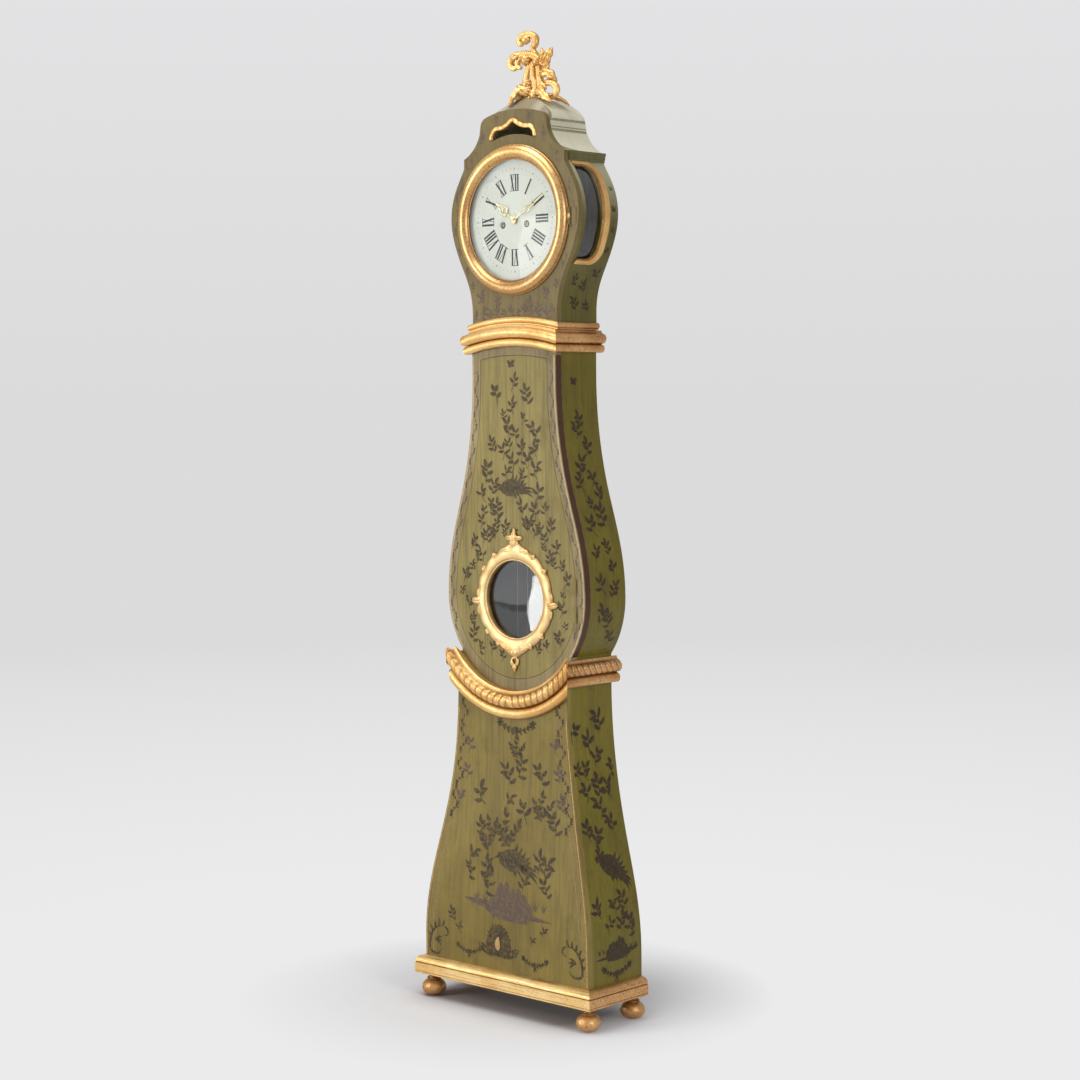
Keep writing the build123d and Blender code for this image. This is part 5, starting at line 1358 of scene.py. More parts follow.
@dataclass
class Cresting:
    """Carved rocaille cresting astride the ridge: stalks, C-scrolls, curled leaves and roots."""

    ridge: float = 2346.0
    depth: float = 82.0
    groove: float = 0.3
    lean: Triple = (0.0, 1.0, 0.0)

    def band(self, shell: Shell, knots: Knots, widths: Triple, thick: float, count: int = 64) -> None:
        """Adds a fluted strand.

        Args:
            shell: where the surface goes.
            knots: (x, height over the ridge, depth from the middle) of its line.
            widths: half widths at the start, the middle and the end.
            thick: half thickness.
            count: points along it.
        """
        line = self.line(knots, count)
        half = taper(count, *widths)
        depths = np.maximum(thick * half / max(widths), 0.75 * half)
        shell.grid(*strand(line, half, depths, self.lean, self.groove), wrap_v=True)

    def line(self, knots: Knots, count: int) -> Array:
        """Smooth line through (x, height over the ridge, depth from the middle) knots."""
        path = smooth_path([(*knot, 0)[:3] for knot in knots], count)
        return np.stack([path[:, 0], self.depth + path[:, 2], self.ridge + path[:, 1]], -1)

    def leaf(self, shell: Shell, knots: Knots, width: float, height: float, lean: Triple) -> None:
        """Adds a leaf with a carved face both ways, so that it looks whole from behind."""
        line = self.line(knots, 44)
        away = tuple(-value for value in lean)
        shell.grid(*carved_leaf(line, width, height, lean), wrap_v=True)
        shell.grid(*carved_leaf(line, width * 0.96, height * 0.8, away), wrap_v=True)

    def boss(self, shell: Shell, x: float, z: float, radius: float, depth: float = 0.0) -> None:
        """Adds a beaded boss: a ball whose radius swells with eight gadroons."""
        u = np.linspace(0, math.pi, 17)
        a = np.linspace(0, 2 * math.pi, 48, endpoint=False)[:, None]
        swell = radius * (1 + 0.07 * np.cos(8 * a) * np.sin(u)[None] ** 2)
        across, ahead = swell * np.sin(u) * np.cos(a), swell * np.cos(u) + 0 * a
        above = swell * np.sin(u) * np.sin(a)
        points = np.stack([x + across, self.depth + depth + ahead, self.ridge + z + above], -1)
        shell.grid(points, 0.55 + 0.4 * np.cos(8 * a) * np.sin(u)[None], wrap_u=True)

    def stalks(self, shell: Shell) -> None:
        """Roots and stalks that carry the scrolls."""
        for knots, widths, thick in (
            ([(-4, -14), (-8, 18), (-15, 46), (-8, 72), (6, 96)], (13, 9.0, 8), 11),
            ([(26, -8), (38, 20), (33, 48), (29, 74), (25, 100)], (13, 10.0, 9), 11),
            ([(14, -4), (19, 28), (10, 52), (8, 76), (14, 96)], (10, 8.0, 7), 10),
            ([(26, 96), (16, 112), (9, 124), (10, 136)], (9, 7.5, 7), 9),
        ):
            self.band(shell, knots, widths, thick)
        for boss in ((-33, 29, 10, 4), (-8, 37, 13, 5), (-5, 19, 14, 3), (20, 7, 15, 5), (27, 89, 11, 5)):
            self.boss(shell, *boss)
        self.leaf(shell, [(0, 6, 8), (-20, 22, 17), (-37, 24, 11)], 13, 8, (0.2, 1, 0.2))

    def scrolls(self, shell: Shell) -> None:
        """The great C-scroll, the top curl and the right-hand loop."""
        great = [(58, 74), (26, 98), (-6, 111), (-40, 113), (-62, 106)]
        great += [(-69, 93), (-61, 82), (-49, 83), (-45, 91)]
        inner = [(-10, 110), (-32, 107), (-44, 95), (-41, 83), (-28, 80)]
        curl = [(6, 122), (18, 136), (18, 152), (0, 161), (-22, 161), (-37, 153), (-35, 142), (-22, 140)]
        loop = [(48, 34), (70, 34), (88, 22), (90, 8), (78, -2), (62, 5)]
        self.band(shell, great, (9, 10.5, 6), 12, 100)
        self.band(shell, inner, (7, 8.0, 5), 9)
        self.boss(shell, -10, 96, 14.5, 4)
        self.band(shell, curl, (8, 9.5, 7), 11, 90)
        self.boss(shell, -13, 149, 12, 3)
        self.band(shell, loop, (9, 9.0, 6), 9, 80)

    def leaves(self, shell: Shell) -> None:
        """Curled leaves on both sides and the two leaves that lie down the roof."""
        for knots, *form in (
            ([(44, 78, 0), (60, 92, 6), (70, 108, 5), (74, 122, -3)], 14, 8, (0.2, 1, 0)),
            ([(36, 84, 0), (43, 102, 5), (41, 124, 1)], 11, 7, (0, 1, 0)),
            ([(48, 88, 0), (61, 78, 6), (60, 60, 3)], 12, 7, (0, 1, 0.2)),
            ([(30, 54, 0), (54, 60, 6), (76, 52, 5), (93, 34, 0)], 13, 8, (0, 1, 0.3)),
            ([(34, 30, 0), (48, 26, 7), (60, 18, 4)], 11, 7, (0, 1, 0)),
            ([(4, 142, 4), (-10, 150, 10), (-28, 150, 5)], 10, 6, (0, 1, 0)),
            ([(-30, 112, 4), (-50, 108, 10), (-62, 96, 6)], 9, 6, (0, 1, 0)),
            ([(-8, 28, 6), (-26, 20, 17), (-33, -1, 33), (-34, -23, 45)], 13, 8, (-0.2, 0.7, 0.7)),
            ([(-16, 20, 2), (-40, 12, 10), (-58, -8, 18)], 11, 7, (-0.5, 0.6, 0.6)),
            ([(-18, 14, -4), (-44, 6, -12), (-68, -12, -16)], 13, 8, (-0.4, -0.2, 0.9)),
            ([(16, 6, -6), (48, 2, -16), (80, -8, -28), (103, -24, -34)], 15, 8, (0.3, -0.2, 0.9)),
            ([(20, 8, 8), (46, 12, 14), (70, -4, 20), (92, -20, 22)], 12, 8, (0.3, 0.8, 0.5)),
        ):
            self.leaf(shell, knots, *form)

    def build(self, finishes: Finishes) -> None:
        """Carves the cresting as one piece."""
        shell = Shell()
        self.stalks(shell)
        self.scrolls(shell)
        self.leaves(shell)
        shell.piece("cresting_carved", finishes.gilt, "hood", "gilded_wood", ["cresting"], 60)


# ------------------------------------------------------------------ dial and hands
@dataclass
class Hands:
    """Pierced hands, sawn and filed from sheet: stem, scrolled heart and leaf-shaped tip."""

    z: float = 2034.0
    minute_angle: float = 60.0
    minute_depth: float = 148.5
    hour_angle: float = 305.0
    hour_depth: float = 146.0
    thickness: float = 1.0

    def place(self, angle: float, depth: float, knots: Knots, count: int) -> Array:
        """Line through (distance out, distance across) knots, laid along a hand.

        Args:
            angle: clock angle of the hand in degrees.
            depth: depth of the sheet's middle.
            knots: its points.
            count: number of points.

        Returns:
            count by 3.
        """
        path = smooth_path(knots, count)
        turn = math.radians(90 - angle)
        x = path[:, 0] * math.cos(turn) + path[:, 1] * math.sin(turn)
        z = path[:, 0] * math.sin(turn) - path[:, 1] * math.cos(turn)
        return np.stack([x, np.full(count, depth), self.z + z], -1)

    def sheet(
        self, shell: Shell, at: tuple[float, float], knots: Knots, widths: Sequence[float], count: int = 40,
    ) -> None:
        """Adds one sawn bar whose half width runs through the given widths.

        Args:
            shell: where the surface goes.
            at: clock angle and depth of the hand.
            knots: (distance out, distance across) of its line.
            widths: half widths, evenly spaced along it.
            count: points along it.
        """
        line = self.place(*at, knots, count)
        along = unit(np.gradient(line, axis=0))
        side = np.cross(along, (0.0, 1.0, 0.0))
        half = np.interp(np.linspace(0, 1, count), np.linspace(0, 1, len(widths)), widths)[:, None]
        thick = self.thickness / 2
        edge = ((-1, -1), (-1, 0.4), (-0.6, 1), (0.6, 1), (1, 0.4), (1, -1))
        points = np.stack([line + side * half * a + np.array([0, thick * b, 0]) for a, b in edge], 1)
        shell.grid(points, 0.9, wrap_v=True, caps=True)

    def hub(self, shell: Shell, depth: float, radius: float, bore: float) -> None:
        """Adds the disc the hand is riveted to."""
        t = self.thickness / 2
        section = np.array([[bore, -t], [radius - 0.3, -t], [radius, 0.3 - t], [radius - 0.4, t], [bore, t]])
        place = lambda a, b, h: np.stack([a, depth + h, self.z + b], -1)
        shell.grid(lathe(section, 40, place), 0.9, wrap_u=True, wrap_v=bool(bore))

    def hour(self, finishes: Finishes) -> None:
        """Short hand with a broad pierced heart."""
        shell = Shell()
        at = (self.hour_angle, self.hour_depth)
        self.hub(shell, self.hour_depth, 11.0, 5.1)
        self.sheet(shell, at, [(9, 0), (20, 0), (34, 0)], [3.0, 1.6, 2.4])
        for side in (1, -1):
            for knots, *sizes in (
                ([(31, 0), (37, 8), (48, 10.2), (59, 5.5), (66, 0)], [1.6, 2.1, 1.8, 1.5, 1.5]),
                ([(40, 9), (36, 12.5), (31, 10.5), (32, 6.5)], [1.2, 1.4, 1.2, 0.8], 24),
                ([(56, 6.5), (51, 3.5), (46, 3), (44, 5)], [1.0, 1.2, 1.0, 0.7], 24),
            ):
                self.sheet(shell, at, [(out, side * across) for out, across in knots], *sizes)
        self.sheet(shell, at, [(63, 0), (70, 0), (78, 0), (86, 0)], [1.4, 3.6, 2.2, 0.3])
        shell.piece("hour_hand_pierced", finishes.hand, "hour", "hand_brass", ["hour_hand"], sharp=30)

    def minute(self, finishes: Finishes) -> None:
        """Long hand with two slim pierced swellings."""
        shell = Shell()
        at = (self.minute_angle, self.minute_depth)
        self.hub(shell, self.minute_depth, 9.0, 0.0)
        self.sheet(shell, at, [(0, 0), (24, 0), (44, 0)], [3.0, 1.4, 1.9])
        for side in (1, -1):
            for knots, *sizes in (
                ([(42, 0), (48, 6), (55, 7.5), (63, 4), (69, 0)], [1.3, 1.6, 1.5, 1.3, 1.3]),
                ([(68, 0), (73, 4.4), (79, 4.2), (85, 0)], [1.1, 1.3, 1.2, 1.0], 30),
            ):
                self.sheet(shell, at, [(out, side * across) for out, across in knots], *sizes)
        self.sheet(shell, at, [(55, 0), (60, 0), (66, 0)], [0.5, 1.1, 1.4], 16)
        self.sheet(shell, at, [(84, 0), (100, 0), (114, 0), (128, 0)], [1.0, 1.9, 1.3, 0.25])
        shell.piece("minute_hand_pierced", finishes.hand, "minute", "hand_brass", ["minute_hand"], sharp=30)

    def build(self, finishes: Finishes) -> None:
        """Makes both hands."""
        self.hour(finishes)
        self.minute(finishes)


@dataclass
class WeightLines:
    """Twisted falls of both weights' lines; a fall is a tube whose skin winds as a rope does."""

    depth: float = 78.0
    low: float = 512.0
    high: float = 1905.0
    radius: float = 0.8
    travel: float = 1150.0
    going: tuple[float, float] = (20.7, 56.7)
    strike: tuple[float, float] = (-62.3, -26.3)

    def build(self, finishes: Finishes) -> None:
        """Makes the falls, each on its own body."""
        z = np.linspace(self.low, self.high, 700)[:, None]
        a = np.linspace(0, 2 * math.pi, 9, endpoint=False)[None]
        twist = np.cos(3 * (a - z / 2.2))
        away = self.radius * (0.92 + 0.08 * twist)
        for train, places in (("going", self.going), ("strike", self.strike)):
            shell = Shell()
            for x in places:
                points = np.stack([x + away * np.cos(a), self.depth + away * np.sin(a), z + 0 * a], -1)
                shell.grid(points, 0.5 + 0.5 * twist, wrap_v=True, caps=True)
            name, body, line = f"{train}_falls", f"{train}_fall", f"{train}_line"
            piece = shell.piece(name, finishes.gut, body, "gut_line", [line])
            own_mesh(piece)


# ------------------------------------------------------------------ brushwork
class Form(Enum):
    """How a brush stroke swells: shares of its length, and the shares of its width there."""

    STEM = ((0.0, 0.35, 1.0), (0.6, 1.0, 0.3))
    LEAF = ((0.0, 0.16, 0.45, 0.78, 1.0), (0.12, 0.78, 1.0, 0.66, 0.04))
    PLUME = ((0.0, 0.2, 1.0), (0.8, 1.0, 0.06))
    BAR = ((0.0, 0.5, 1.0), (0.92, 1.0, 0.92))


Stroke = tuple[Form, float, Point, Point, Point, Point]


def reaching(
    form: Form, width: float, start: Point, angle: float, length: float, curl: float = 0.3,
) -> Stroke:
    """Stroke that leaves its start at an angle and curls a little.

    Args:
        form: its form.
        width: its full width.
        start: where it starts.
        angle: direction in degrees.
        length: its length.
        curl: how far it turns off, as a share of its length.

    Returns:
        The stroke.
    """
    turn = math.radians(angle)
    c, s = math.cos(turn), math.sin(turn)
    spot = lambda a, b: (start[0] + length * (a * c - b * s), start[1] + length * (a * s + b * c))
    return form, width, start, spot(0.33, curl * 0.9), spot(0.7, curl * 0.9), spot(1.0, 0.0)


def on_curve(stroke: Stroke, t: float) -> tuple[Point, float]:
    """Point and direction in degrees at share t of a stroke's cubic."""
    a, b, c, d = (np.array(knot) for knot in stroke[2:])
    s = 1 - t
    point = s**3 * a + 3 * s * s * t * b + 3 * s * t * t * c + t**3 * d
    slope = s * s * (b - a) + 2 * s * t * (c - b) + t * t * (d - c)
    return (float(point[0]), float(point[1])), math.degrees(math.atan2(slope[1], slope[0]))


class Motifs:
    """Small motifs of the brushwork, about one unit tall, drawn afresh each time."""

    def __init__(self, seed: int) -> None:
        """Starts the hand's own run of small differences."""
        self.rng = np.random.default_rng(seed)

    def about(self, value: float, spread: float = 0.2) -> float:
        """A value give or take a share of it."""
        return float(value * self.rng.uniform(1 - spread, 1 + spread))

    def blossom(self, at: Point, size: float, petals: int = 5) -> list[Stroke]:
        """Petals round a point."""
        first = float(self.rng.uniform(0, 72))
        turns = [first + 360 * k / petals for k in range(petals)]
        return [reaching(Form.LEAF, size * 0.5, at, turn, size, 0.15) for turn in turns]

    def leafed(self, stem: Stroke, pairs: int, length: float, width: float) -> list[Stroke]:
        """A stem with leaves in pairs, shorter towards its tip."""
        strokes = [stem]
        for k in range(pairs):
            t = 0.18 + 0.76 * k / max(pairs - 1, 1)
            point, angle = on_curve(stem, t)
            for hand in (1, -1):
                size = self.about(length * (1.05 - 0.45 * t))
                lean = hand * self.about(48, 0.25)
                broad = self.about(width)
                strokes.append(reaching(Form.LEAF, broad, point, angle + lean, size, -hand * 0.22))
        return strokes

    def sprig(self) -> list[Stroke]:
        """One short twig with a few broad pointed leaves."""
        bend = float(self.rng.uniform(-0.3, 0.3))
        stem = (Form.STEM, 0.04, (0.0, -0.45), (bend, -0.2), (bend, 0.05), (bend * 0.3, 0.2))
        tip, ahead = on_curve(stem, 1.0)
        strokes = [stem, reaching(Form.LEAF, self.about(0.17), tip, ahead, self.about(0.42, 0.15), 0.1)]
        for k in range(int(self.rng.integers(3, 6))):
            point, angle = on_curve(stem, 0.95 - 0.22 * k)
            hand = 1 if k % 2 else -1
            width, angle = self.about(0.16), angle + hand * self.about(58)
            strokes.append(reaching(Form.LEAF, width, point, angle, self.about(0.40), hand * 0.12))
        return strokes

    def spray(self) -> list[Stroke]:
        """Three leafed twigs fanned from one root."""
        strokes = []
        for angle, length in ((58, 0.75), (94, 0.9), (132, 0.7)):
            angles, lengths = self.about(angle, 0.07), self.about(length, 0.1)
            stem = reaching(Form.STEM, 0.03, (0.0, -0.5), angles, lengths, 0.16)
            strokes += self.leafed(stem, 4, 0.26, 0.11)
            strokes.append(reaching(Form.LEAF, 0.11, on_curve(stem, 1.0)[0], angle, 0.26, 0.1))
        return strokes

    def bird(self) -> list[Stroke]:
        """Long-tailed bird on the wing, looking to the left."""
        strokes = [
            (Form.LEAF, 0.36, (-0.36, 0.02), (-0.14, 0.15), (0.10, 0.07), (0.34, -0.06)),
            (Form.LEAF, 0.16, (-0.44, 0.10), (-0.36, 0.16), (-0.30, 0.10), (-0.20, 0.04)),
            (Form.PLUME, 0.035, (-0.40, 0.11), (-0.46, 0.11), (-0.50, 0.09), (-0.54, 0.06)),
        ]
        for k in range(5):
            length = self.about(0.42 - 0.01 * k, 0.08)
            strokes.append(reaching(Form.PLUME, 0.15, (-0.16 + 0.06 * k, 0.05), 58 - 12 * k, length, -0.16))
        for k in range(3):
            length = self.about(0.24, 0.1)
            strokes.append(reaching(Form.PLUME, 0.08, (-0.06 + 0.07 * k, -0.03), -52 + 12 * k, length, 0.12))
        for k in range(3):
            length = self.about(0.46, 0.12)
            strokes.append(reaching(Form.PLUME, 0.10, (0.20, -0.03), -30 + 13 * k, length, 0.12))
        for k in range(2):
            strokes.append(reaching(Form.STEM, 0.02, (-0.02 + 0.06 * k, -0.04), -75, 0.17, 0.05))
        return strokes

    def butterfly(self) -> list[Stroke]:
        """Four wings, a body and feelers."""
        spans = ((38, 0.5), (142, 0.5), (-32, 0.36), (212, 0.36))
        wings = [reaching(Form.LEAF, 0.26, (0.0, 0.02), angle, length, 0.1) for angle, length in spans]
        body = (Form.LEAF, 0.07, (0.0, -0.22), (0.01, -0.1), (0.01, 0.1), (0.0, 0.24))
        feelers = [reaching(Form.STEM, 0.02, (0.0, 0.22), angle, 0.2, 0.2) for angle in (65, 115)]
        return [*wings, body, *feelers]

    def rock(self) -> list[Stroke]:
        """Island of rock: a long ground, broad humps laid side by side, and grass."""
        strokes = [
            (Form.LEAF, 0.13, (-0.98, 0.00), (-0.3, -0.06), (0.3, -0.14), (0.98, -0.16)),
            (Form.LEAF, 0.14, (-0.5, -0.12), (-0.2, -0.16), (0.2, -0.22), (0.5, -0.22)),
        ]
        humps = (
            (-0.30, 0.14), (-0.19, 0.34), (-0.06, 0.38), (0.08, 0.26),
            (0.21, 0.30), (0.32, 0.24), (0.42, 0.08),
        )
        for x, tall in humps:
            width, top = self.about(0.19, 0.1), (x + 0.01, self.about(tall, 0.08))
            strokes.append((Form.LEAF, width, (x, -0.26), (x - 0.02, 0.0), (x + 0.03, tall * 0.7), top))
        for x in (-0.7, -0.5, 0.62, 0.8):
            for angle in (62, 88, 118):
                strokes.append(reaching(Form.PLUME, 0.03, (x, -0.02), angle, self.about(0.16), 0.1))
        return strokes

    def swag(self) -> list[Stroke]:
        """Hanging garland of leaves."""
        stem = (Form.STEM, 0.04, (-0.8, 0.25), (-0.4, -0.2), (0.4, -0.2), (0.8, 0.25))
        strokes = self.leafed(stem, 9, 0.20, 0.085)
        for t in (0.1, 0.5, 0.9):
            strokes += self.blossom(on_curve(stem, t)[0], 0.15, 6)
        return strokes + [reaching(Form.PLUME, 0.05, (0.0, -0.12), a, 0.32, 0.1) for a in (-112, -90, -68)]

    def scroll(self) -> list[Stroke]:
        """Shell-edged scroll with leaves off its back, for a corner."""
        strokes = [(Form.PLUME, 0.10, (-0.45, -0.4), (-0.5, 0.25), (-0.1, 0.5), (0.25, 0.42))]
        strokes.append((Form.PLUME, 0.07, (0.25, 0.42), (0.5, 0.3), (0.35, 0.05), (0.15, 0.16)))
        strokes.append((Form.PLUME, 0.08, (-0.45, -0.4), (-0.2, -0.6), (0.15, -0.45), (0.05, -0.25)))
        for k in range(6):
            point, angle = on_curve(strokes[0], 0.1 + 0.15 * k)
            strokes.append(reaching(Form.LEAF, 0.08, point, angle + 62, self.about(0.24, 0.15), -0.2))
        return strokes + [reaching(Form.LEAF, 0.07, (-0.2, -0.05), a, 0.34, 0.2) for a in (20, -8, -34)]

    def shell(self) -> list[Stroke]:
        """Grotto: a dark arch edged with short ribs, and scrolls to both sides of its foot."""
        strokes = []
        for a in np.linspace(0.1, 3.0, 11).tolist():
            root = (0.34 * math.cos(a), 0.08 + 0.34 * math.sin(a))
            strokes.append(reaching(Form.LEAF, 0.13, root, math.degrees(a), self.about(0.24, 0.2), 0.04))
        for h in (1, -1):
            arch = (h * 0.34, -0.46), (h * 0.46, 0.0), (h * 0.30, 0.44), (-h * 0.06, 0.40)
            strokes.append((Form.PLUME, 0.42, *arch))
        strokes.append((Form.LEAF, 0.8, (0.0, -0.52), (0.0, -0.2), (0.0, 0.1), (0.0, 0.42)))
        for h in (1, -1):
            arm = (h * 0.1, -0.42), (h * 0.5, -0.56), (h * 1.0, -0.36), (h * 0.95, -0.1)
            strokes.append((Form.PLUME, 0.15, *arm))
        for h in (1, -1):
            for angle in (70, 100, 130):
                strokes.append(reaching(Form.LEAF, 0.08, (h * 0.62, -0.25), 90 - h * angle, 0.3, 0.1 * h))
        return strokes

    def vine(self, waves: int = 3) -> list[Stroke]:
        """Upright winding stem with leaves, for a border."""
        strokes = []
        step = 1.0 / waves
        for k in range(waves):
            low, side = -0.5 + k * step, 0.16 if k % 2 else -0.16
            bends = (side, low + step * 0.3), (side, low + step * 0.7)
            strokes += self.leafed((Form.STEM, 0.03, (0.0, low), *bends, (0.0, low + step)), 3, 0.13, 0.055)
            strokes += self.blossom((side * 0.75, low + step / 2), 0.07)
        return strokes


@dataclass
class Field:
    """A painted face: a front, where u is X, or both sides at once, where u is depth."""

    reach: Outline
    sides: bool = False
    lift: float = 0.22
    layers: int = 12
    layer_step: float = 0.03

    def place(self, u: Array, v: Array, hand: int = 1) -> Array:
        """Points of the face, just off its surface; strokes lie on each other in a few thin layers."""
        layer = np.arange(len(u))[:, None, None] % self.layers
        out = self.reach.at(v) + self.lift + self.layer_step * layer
        return np.stack([hand * out, u, v] if self.sides else [u, out, v], -1)


@dataclass
class Painting:
    """Strokes on one face, kept clear of its edges, and the piece they become."""

    name: str
    body: str
    field: Field
    seed: int
    edge: Edges
    strokes: list[Stroke] = field(default_factory=list)
    motifs: Motifs = field(init=False)
    fullness: float = 1.2
    clear: float = 1.5

    def __post_init__(self) -> None:
        """Gives the face its own hand."""
        self.motifs = Motifs(self.seed)

    def put(
        self, motif: Sequence[Stroke], at: Point, size: float, turn: float = 0.0, wide: float = 1.0,
    ) -> None:
        """Moves a motif to its place.

        Args:
            motif: its strokes.
            at: where its middle goes.
            size: millimetres per unit.
            turn: turn in degrees.
            wide: stretch sideways; below 0 it is mirrored.
        """
        c, s = math.cos(math.radians(turn)) * size, math.sin(math.radians(turn)) * size
        moved = lambda p: (at[0] + c * p[0] * wide - s * p[1], at[1] + s * p[0] * wide + c * p[1])
        for form, width, *knots in motif:
            self.strokes.append((form, self.fullness * width * size, *map(moved, knots)))

    def sprigs(self, places: Sequence[Point], size: float) -> None:
        """Puts leafed twigs at the places, each turned and sized a little differently."""
        for place in places:
            turn = float(self.motifs.rng.uniform(-28, 28))
            self.put(self.motifs.sprig(), place, self.motifs.about(0.84 * size, 0.18), turn)

    def ruled(self, width: float, inset: float, low: float, high: float, ends: str = "both") -> None:
        """Upright lines that follow the face's edges.

        Args:
            width: width of the line.
            inset: distance of its middle from the edge.
            low: foot of the line.
            high: top of the line.
            ends: which edges get one: both, first or last.
        """
        steps = np.linspace(low, high, 25)
        first, last = self.edge(steps)
        runs = {"first": [first + inset], "last": [last - inset], "both": [first + inset, last - inset]}[ends]
        for run in runs:
            knots = list(zip(run.tolist(), steps.tolist()))
            for a, d in zip(knots, knots[1:]):
                third = ((d[0] - a[0]) / 3, (d[1] - a[1]) / 3)
                b, c = (a[0] + third[0], a[1] + third[1]), (d[0] - third[0], d[1] - third[1])
                self.strokes.append((Form.BAR, width, a, b, c, d))

    def surface(self, hand: int, count: int) -> Surface:
        """All strokes at once: cubics (1-t)^3 a + 3(1-t)^2 t b + 3(1-t) t^2 c + t^3 d, with their widths.

        Args:
            hand: side of the case, 1 or -1.
            count: points along each stroke.

        Returns:
            k by count by 3 by 3 points, and their relief, 0 at the rims and 1 along the middle.
        """
        t = np.linspace(0, 1, count)
        knots = np.array([stroke[2:] for stroke in self.strokes])
        weights = np.stack([(1 - t) ** 3, 3 * (1 - t) ** 2 * t, 3 * (1 - t) * t**2, t**3], -1)
        line = np.einsum("nk,skc->snc", weights, knots)
        along = unit(np.gradient(line, axis=1))
        aside = np.stack([-along[..., 1], along[..., 0]], -1)[:, :, None]
        swell = np.array([np.interp(t, *stroke[0].value) for stroke in self.strokes])
        half = swell * np.array([stroke[1] for stroke in self.strokes])[:, None] / 2
        rows = np.array([-1, 0, 1])[None, None, :, None]
        spread = line[:, :, None] + aside * half[..., None, None] * rows
        u, v = spread[..., 0], spread[..., 1]
        first, last = self.edge(v)
        points = self.field.place(np.clip(u, first + self.clear, last - self.clear), v, hand)
        return points, np.broadcast_to(np.array([0.0, 1.0, 0.0]), u.shape)

    def build(self, finish: Material, count: int = 8) -> None:
        """Makes the piece."""
        shell = Shell()
        for hand in (1, -1) if self.field.sides else (1,):
            shell.sheets(*self.surface(hand, count))
        outwards = lambda centres: np.sign(centres[:, :1]) * np.array([[1.0, 0, 0]])
        aim = outwards if self.field.sides else forwards
        shell.piece(self.name, finish, self.body, "painted_wood", facing=aim)


@dataclass
class Numerals:
    """Roman numerals, four as IIII, and a ring of minute marks, painted on the dial."""

    z: float = 2034.0
    face: float = 143.0
    inner: float = 74.0
    outer: float = 115.0
    thick: float = 5.2
    thin: float = 1.5
    gap: float = 2.6
    marks: float = 130.0
    winding: Point = (41.5, 11.5)
    winding_ring: float = 7.4

    def letter(self, sign: str, left: float) -> tuple[list[Stroke], float]:
        """Strokes of one letter and its width."""

        def bar(width: float, top: float, foot: float) -> Stroke:
            """Straight bar from the outer ring down to the inner one."""
            step, fall = (foot - top) / 3, (self.inner - self.outer) / 3
            upper, lower = (top + step, self.outer + fall), (foot - step, self.inner - fall)
            return Form.BAR, width, (top, self.outer), upper, lower, (foot, self.inner)

        if sign == "I":
            return [bar(self.thick, left + self.thick / 2, left + self.thick / 2)], self.thick
        if sign == "V":
            return [bar(self.thick, left + 2.5, left + 8), bar(self.thin, left + 14, left + 8)], 15.5
        return [bar(self.thick, left + 2.5, left + 11), bar(self.thin, left + 11.5, left + 2)], 13.5

    def strokes(self) -> list[Stroke]:
        """All numerals with their serifs, turned to their hours, and the minute marks."""
        names = ("XII", "I", "II", "III", "IIII", "V", "VI", "VII", "VIII", "IX", "X", "XI")
        done = []
        for hour, name in enumerate(names):
            own, left = [], 0.0
            for sign in name:
                drawn, width = self.letter(sign, left)
                own += drawn
                left += width + self.gap
            wide = left - self.gap
            for level in (self.inner, self.outer):
                serif = ((-1.0, level), (wide / 3, level), (wide / 1.5, level), (wide + 1.0, level))
                own.append((Form.BAR, self.thin, *serif))
            done += self.turned(own, 30 * hour, wide / 2)
        for minute in range(60):
            size, width = (2.6, 1.9) if minute % 5 == 0 else (1.3, 1.0)
            low, high = self.marks - size, self.marks + size
            mark = (Form.BAR, width, (0, low), (0, low + size * 0.66), (0, high - size * 0.66), (0, high))
            done += self.turned([mark], 6 * minute, 0.0)
        for side in (1, -1):
            x, z, r = side * self.winding[0], self.z - self.winding[1], self.winding_ring
            spot = lambda k: (x + r * math.cos(math.pi * k / 8), z + r * math.sin(math.pi * k / 8))
            done += [(Form.BAR, 3.0, *(spot(k + part) for part in (0, 0.33, 0.67, 1.05))) for k in range(16)]
        return done

    def turned(self, strokes: Sequence[Stroke], angle: float, middle: float) -> list[Stroke]:
        """Strokes in (across, distance out) turned round the dial by a clock angle."""
        c, s = math.cos(math.radians(angle)), math.sin(math.radians(angle))
        spot = lambda p: ((p[0] - middle) * c + p[1] * s, self.z + p[1] * c - (p[0] - middle) * s)
        return [(form, width, *(spot(p) for p in points)) for form, width, *points in strokes]

    def build(self, finishes: Finishes) -> None:
        """Paints the dial."""
        whole = lambda v: (np.full_like(v, -400.0), np.full_like(v, 400.0))
        painting = Painting("dial_numerals", "case", Field(Outline.level(self.face), lift=0.15), 1, whole)
        painting.strokes = self.strokes()
        shell = Shell()
        shell.sheets(*painting.surface(1, 5))
        shell.piece("dial_numerals", finishes.numeral, "case", "dial_enamel", facing=forwards)


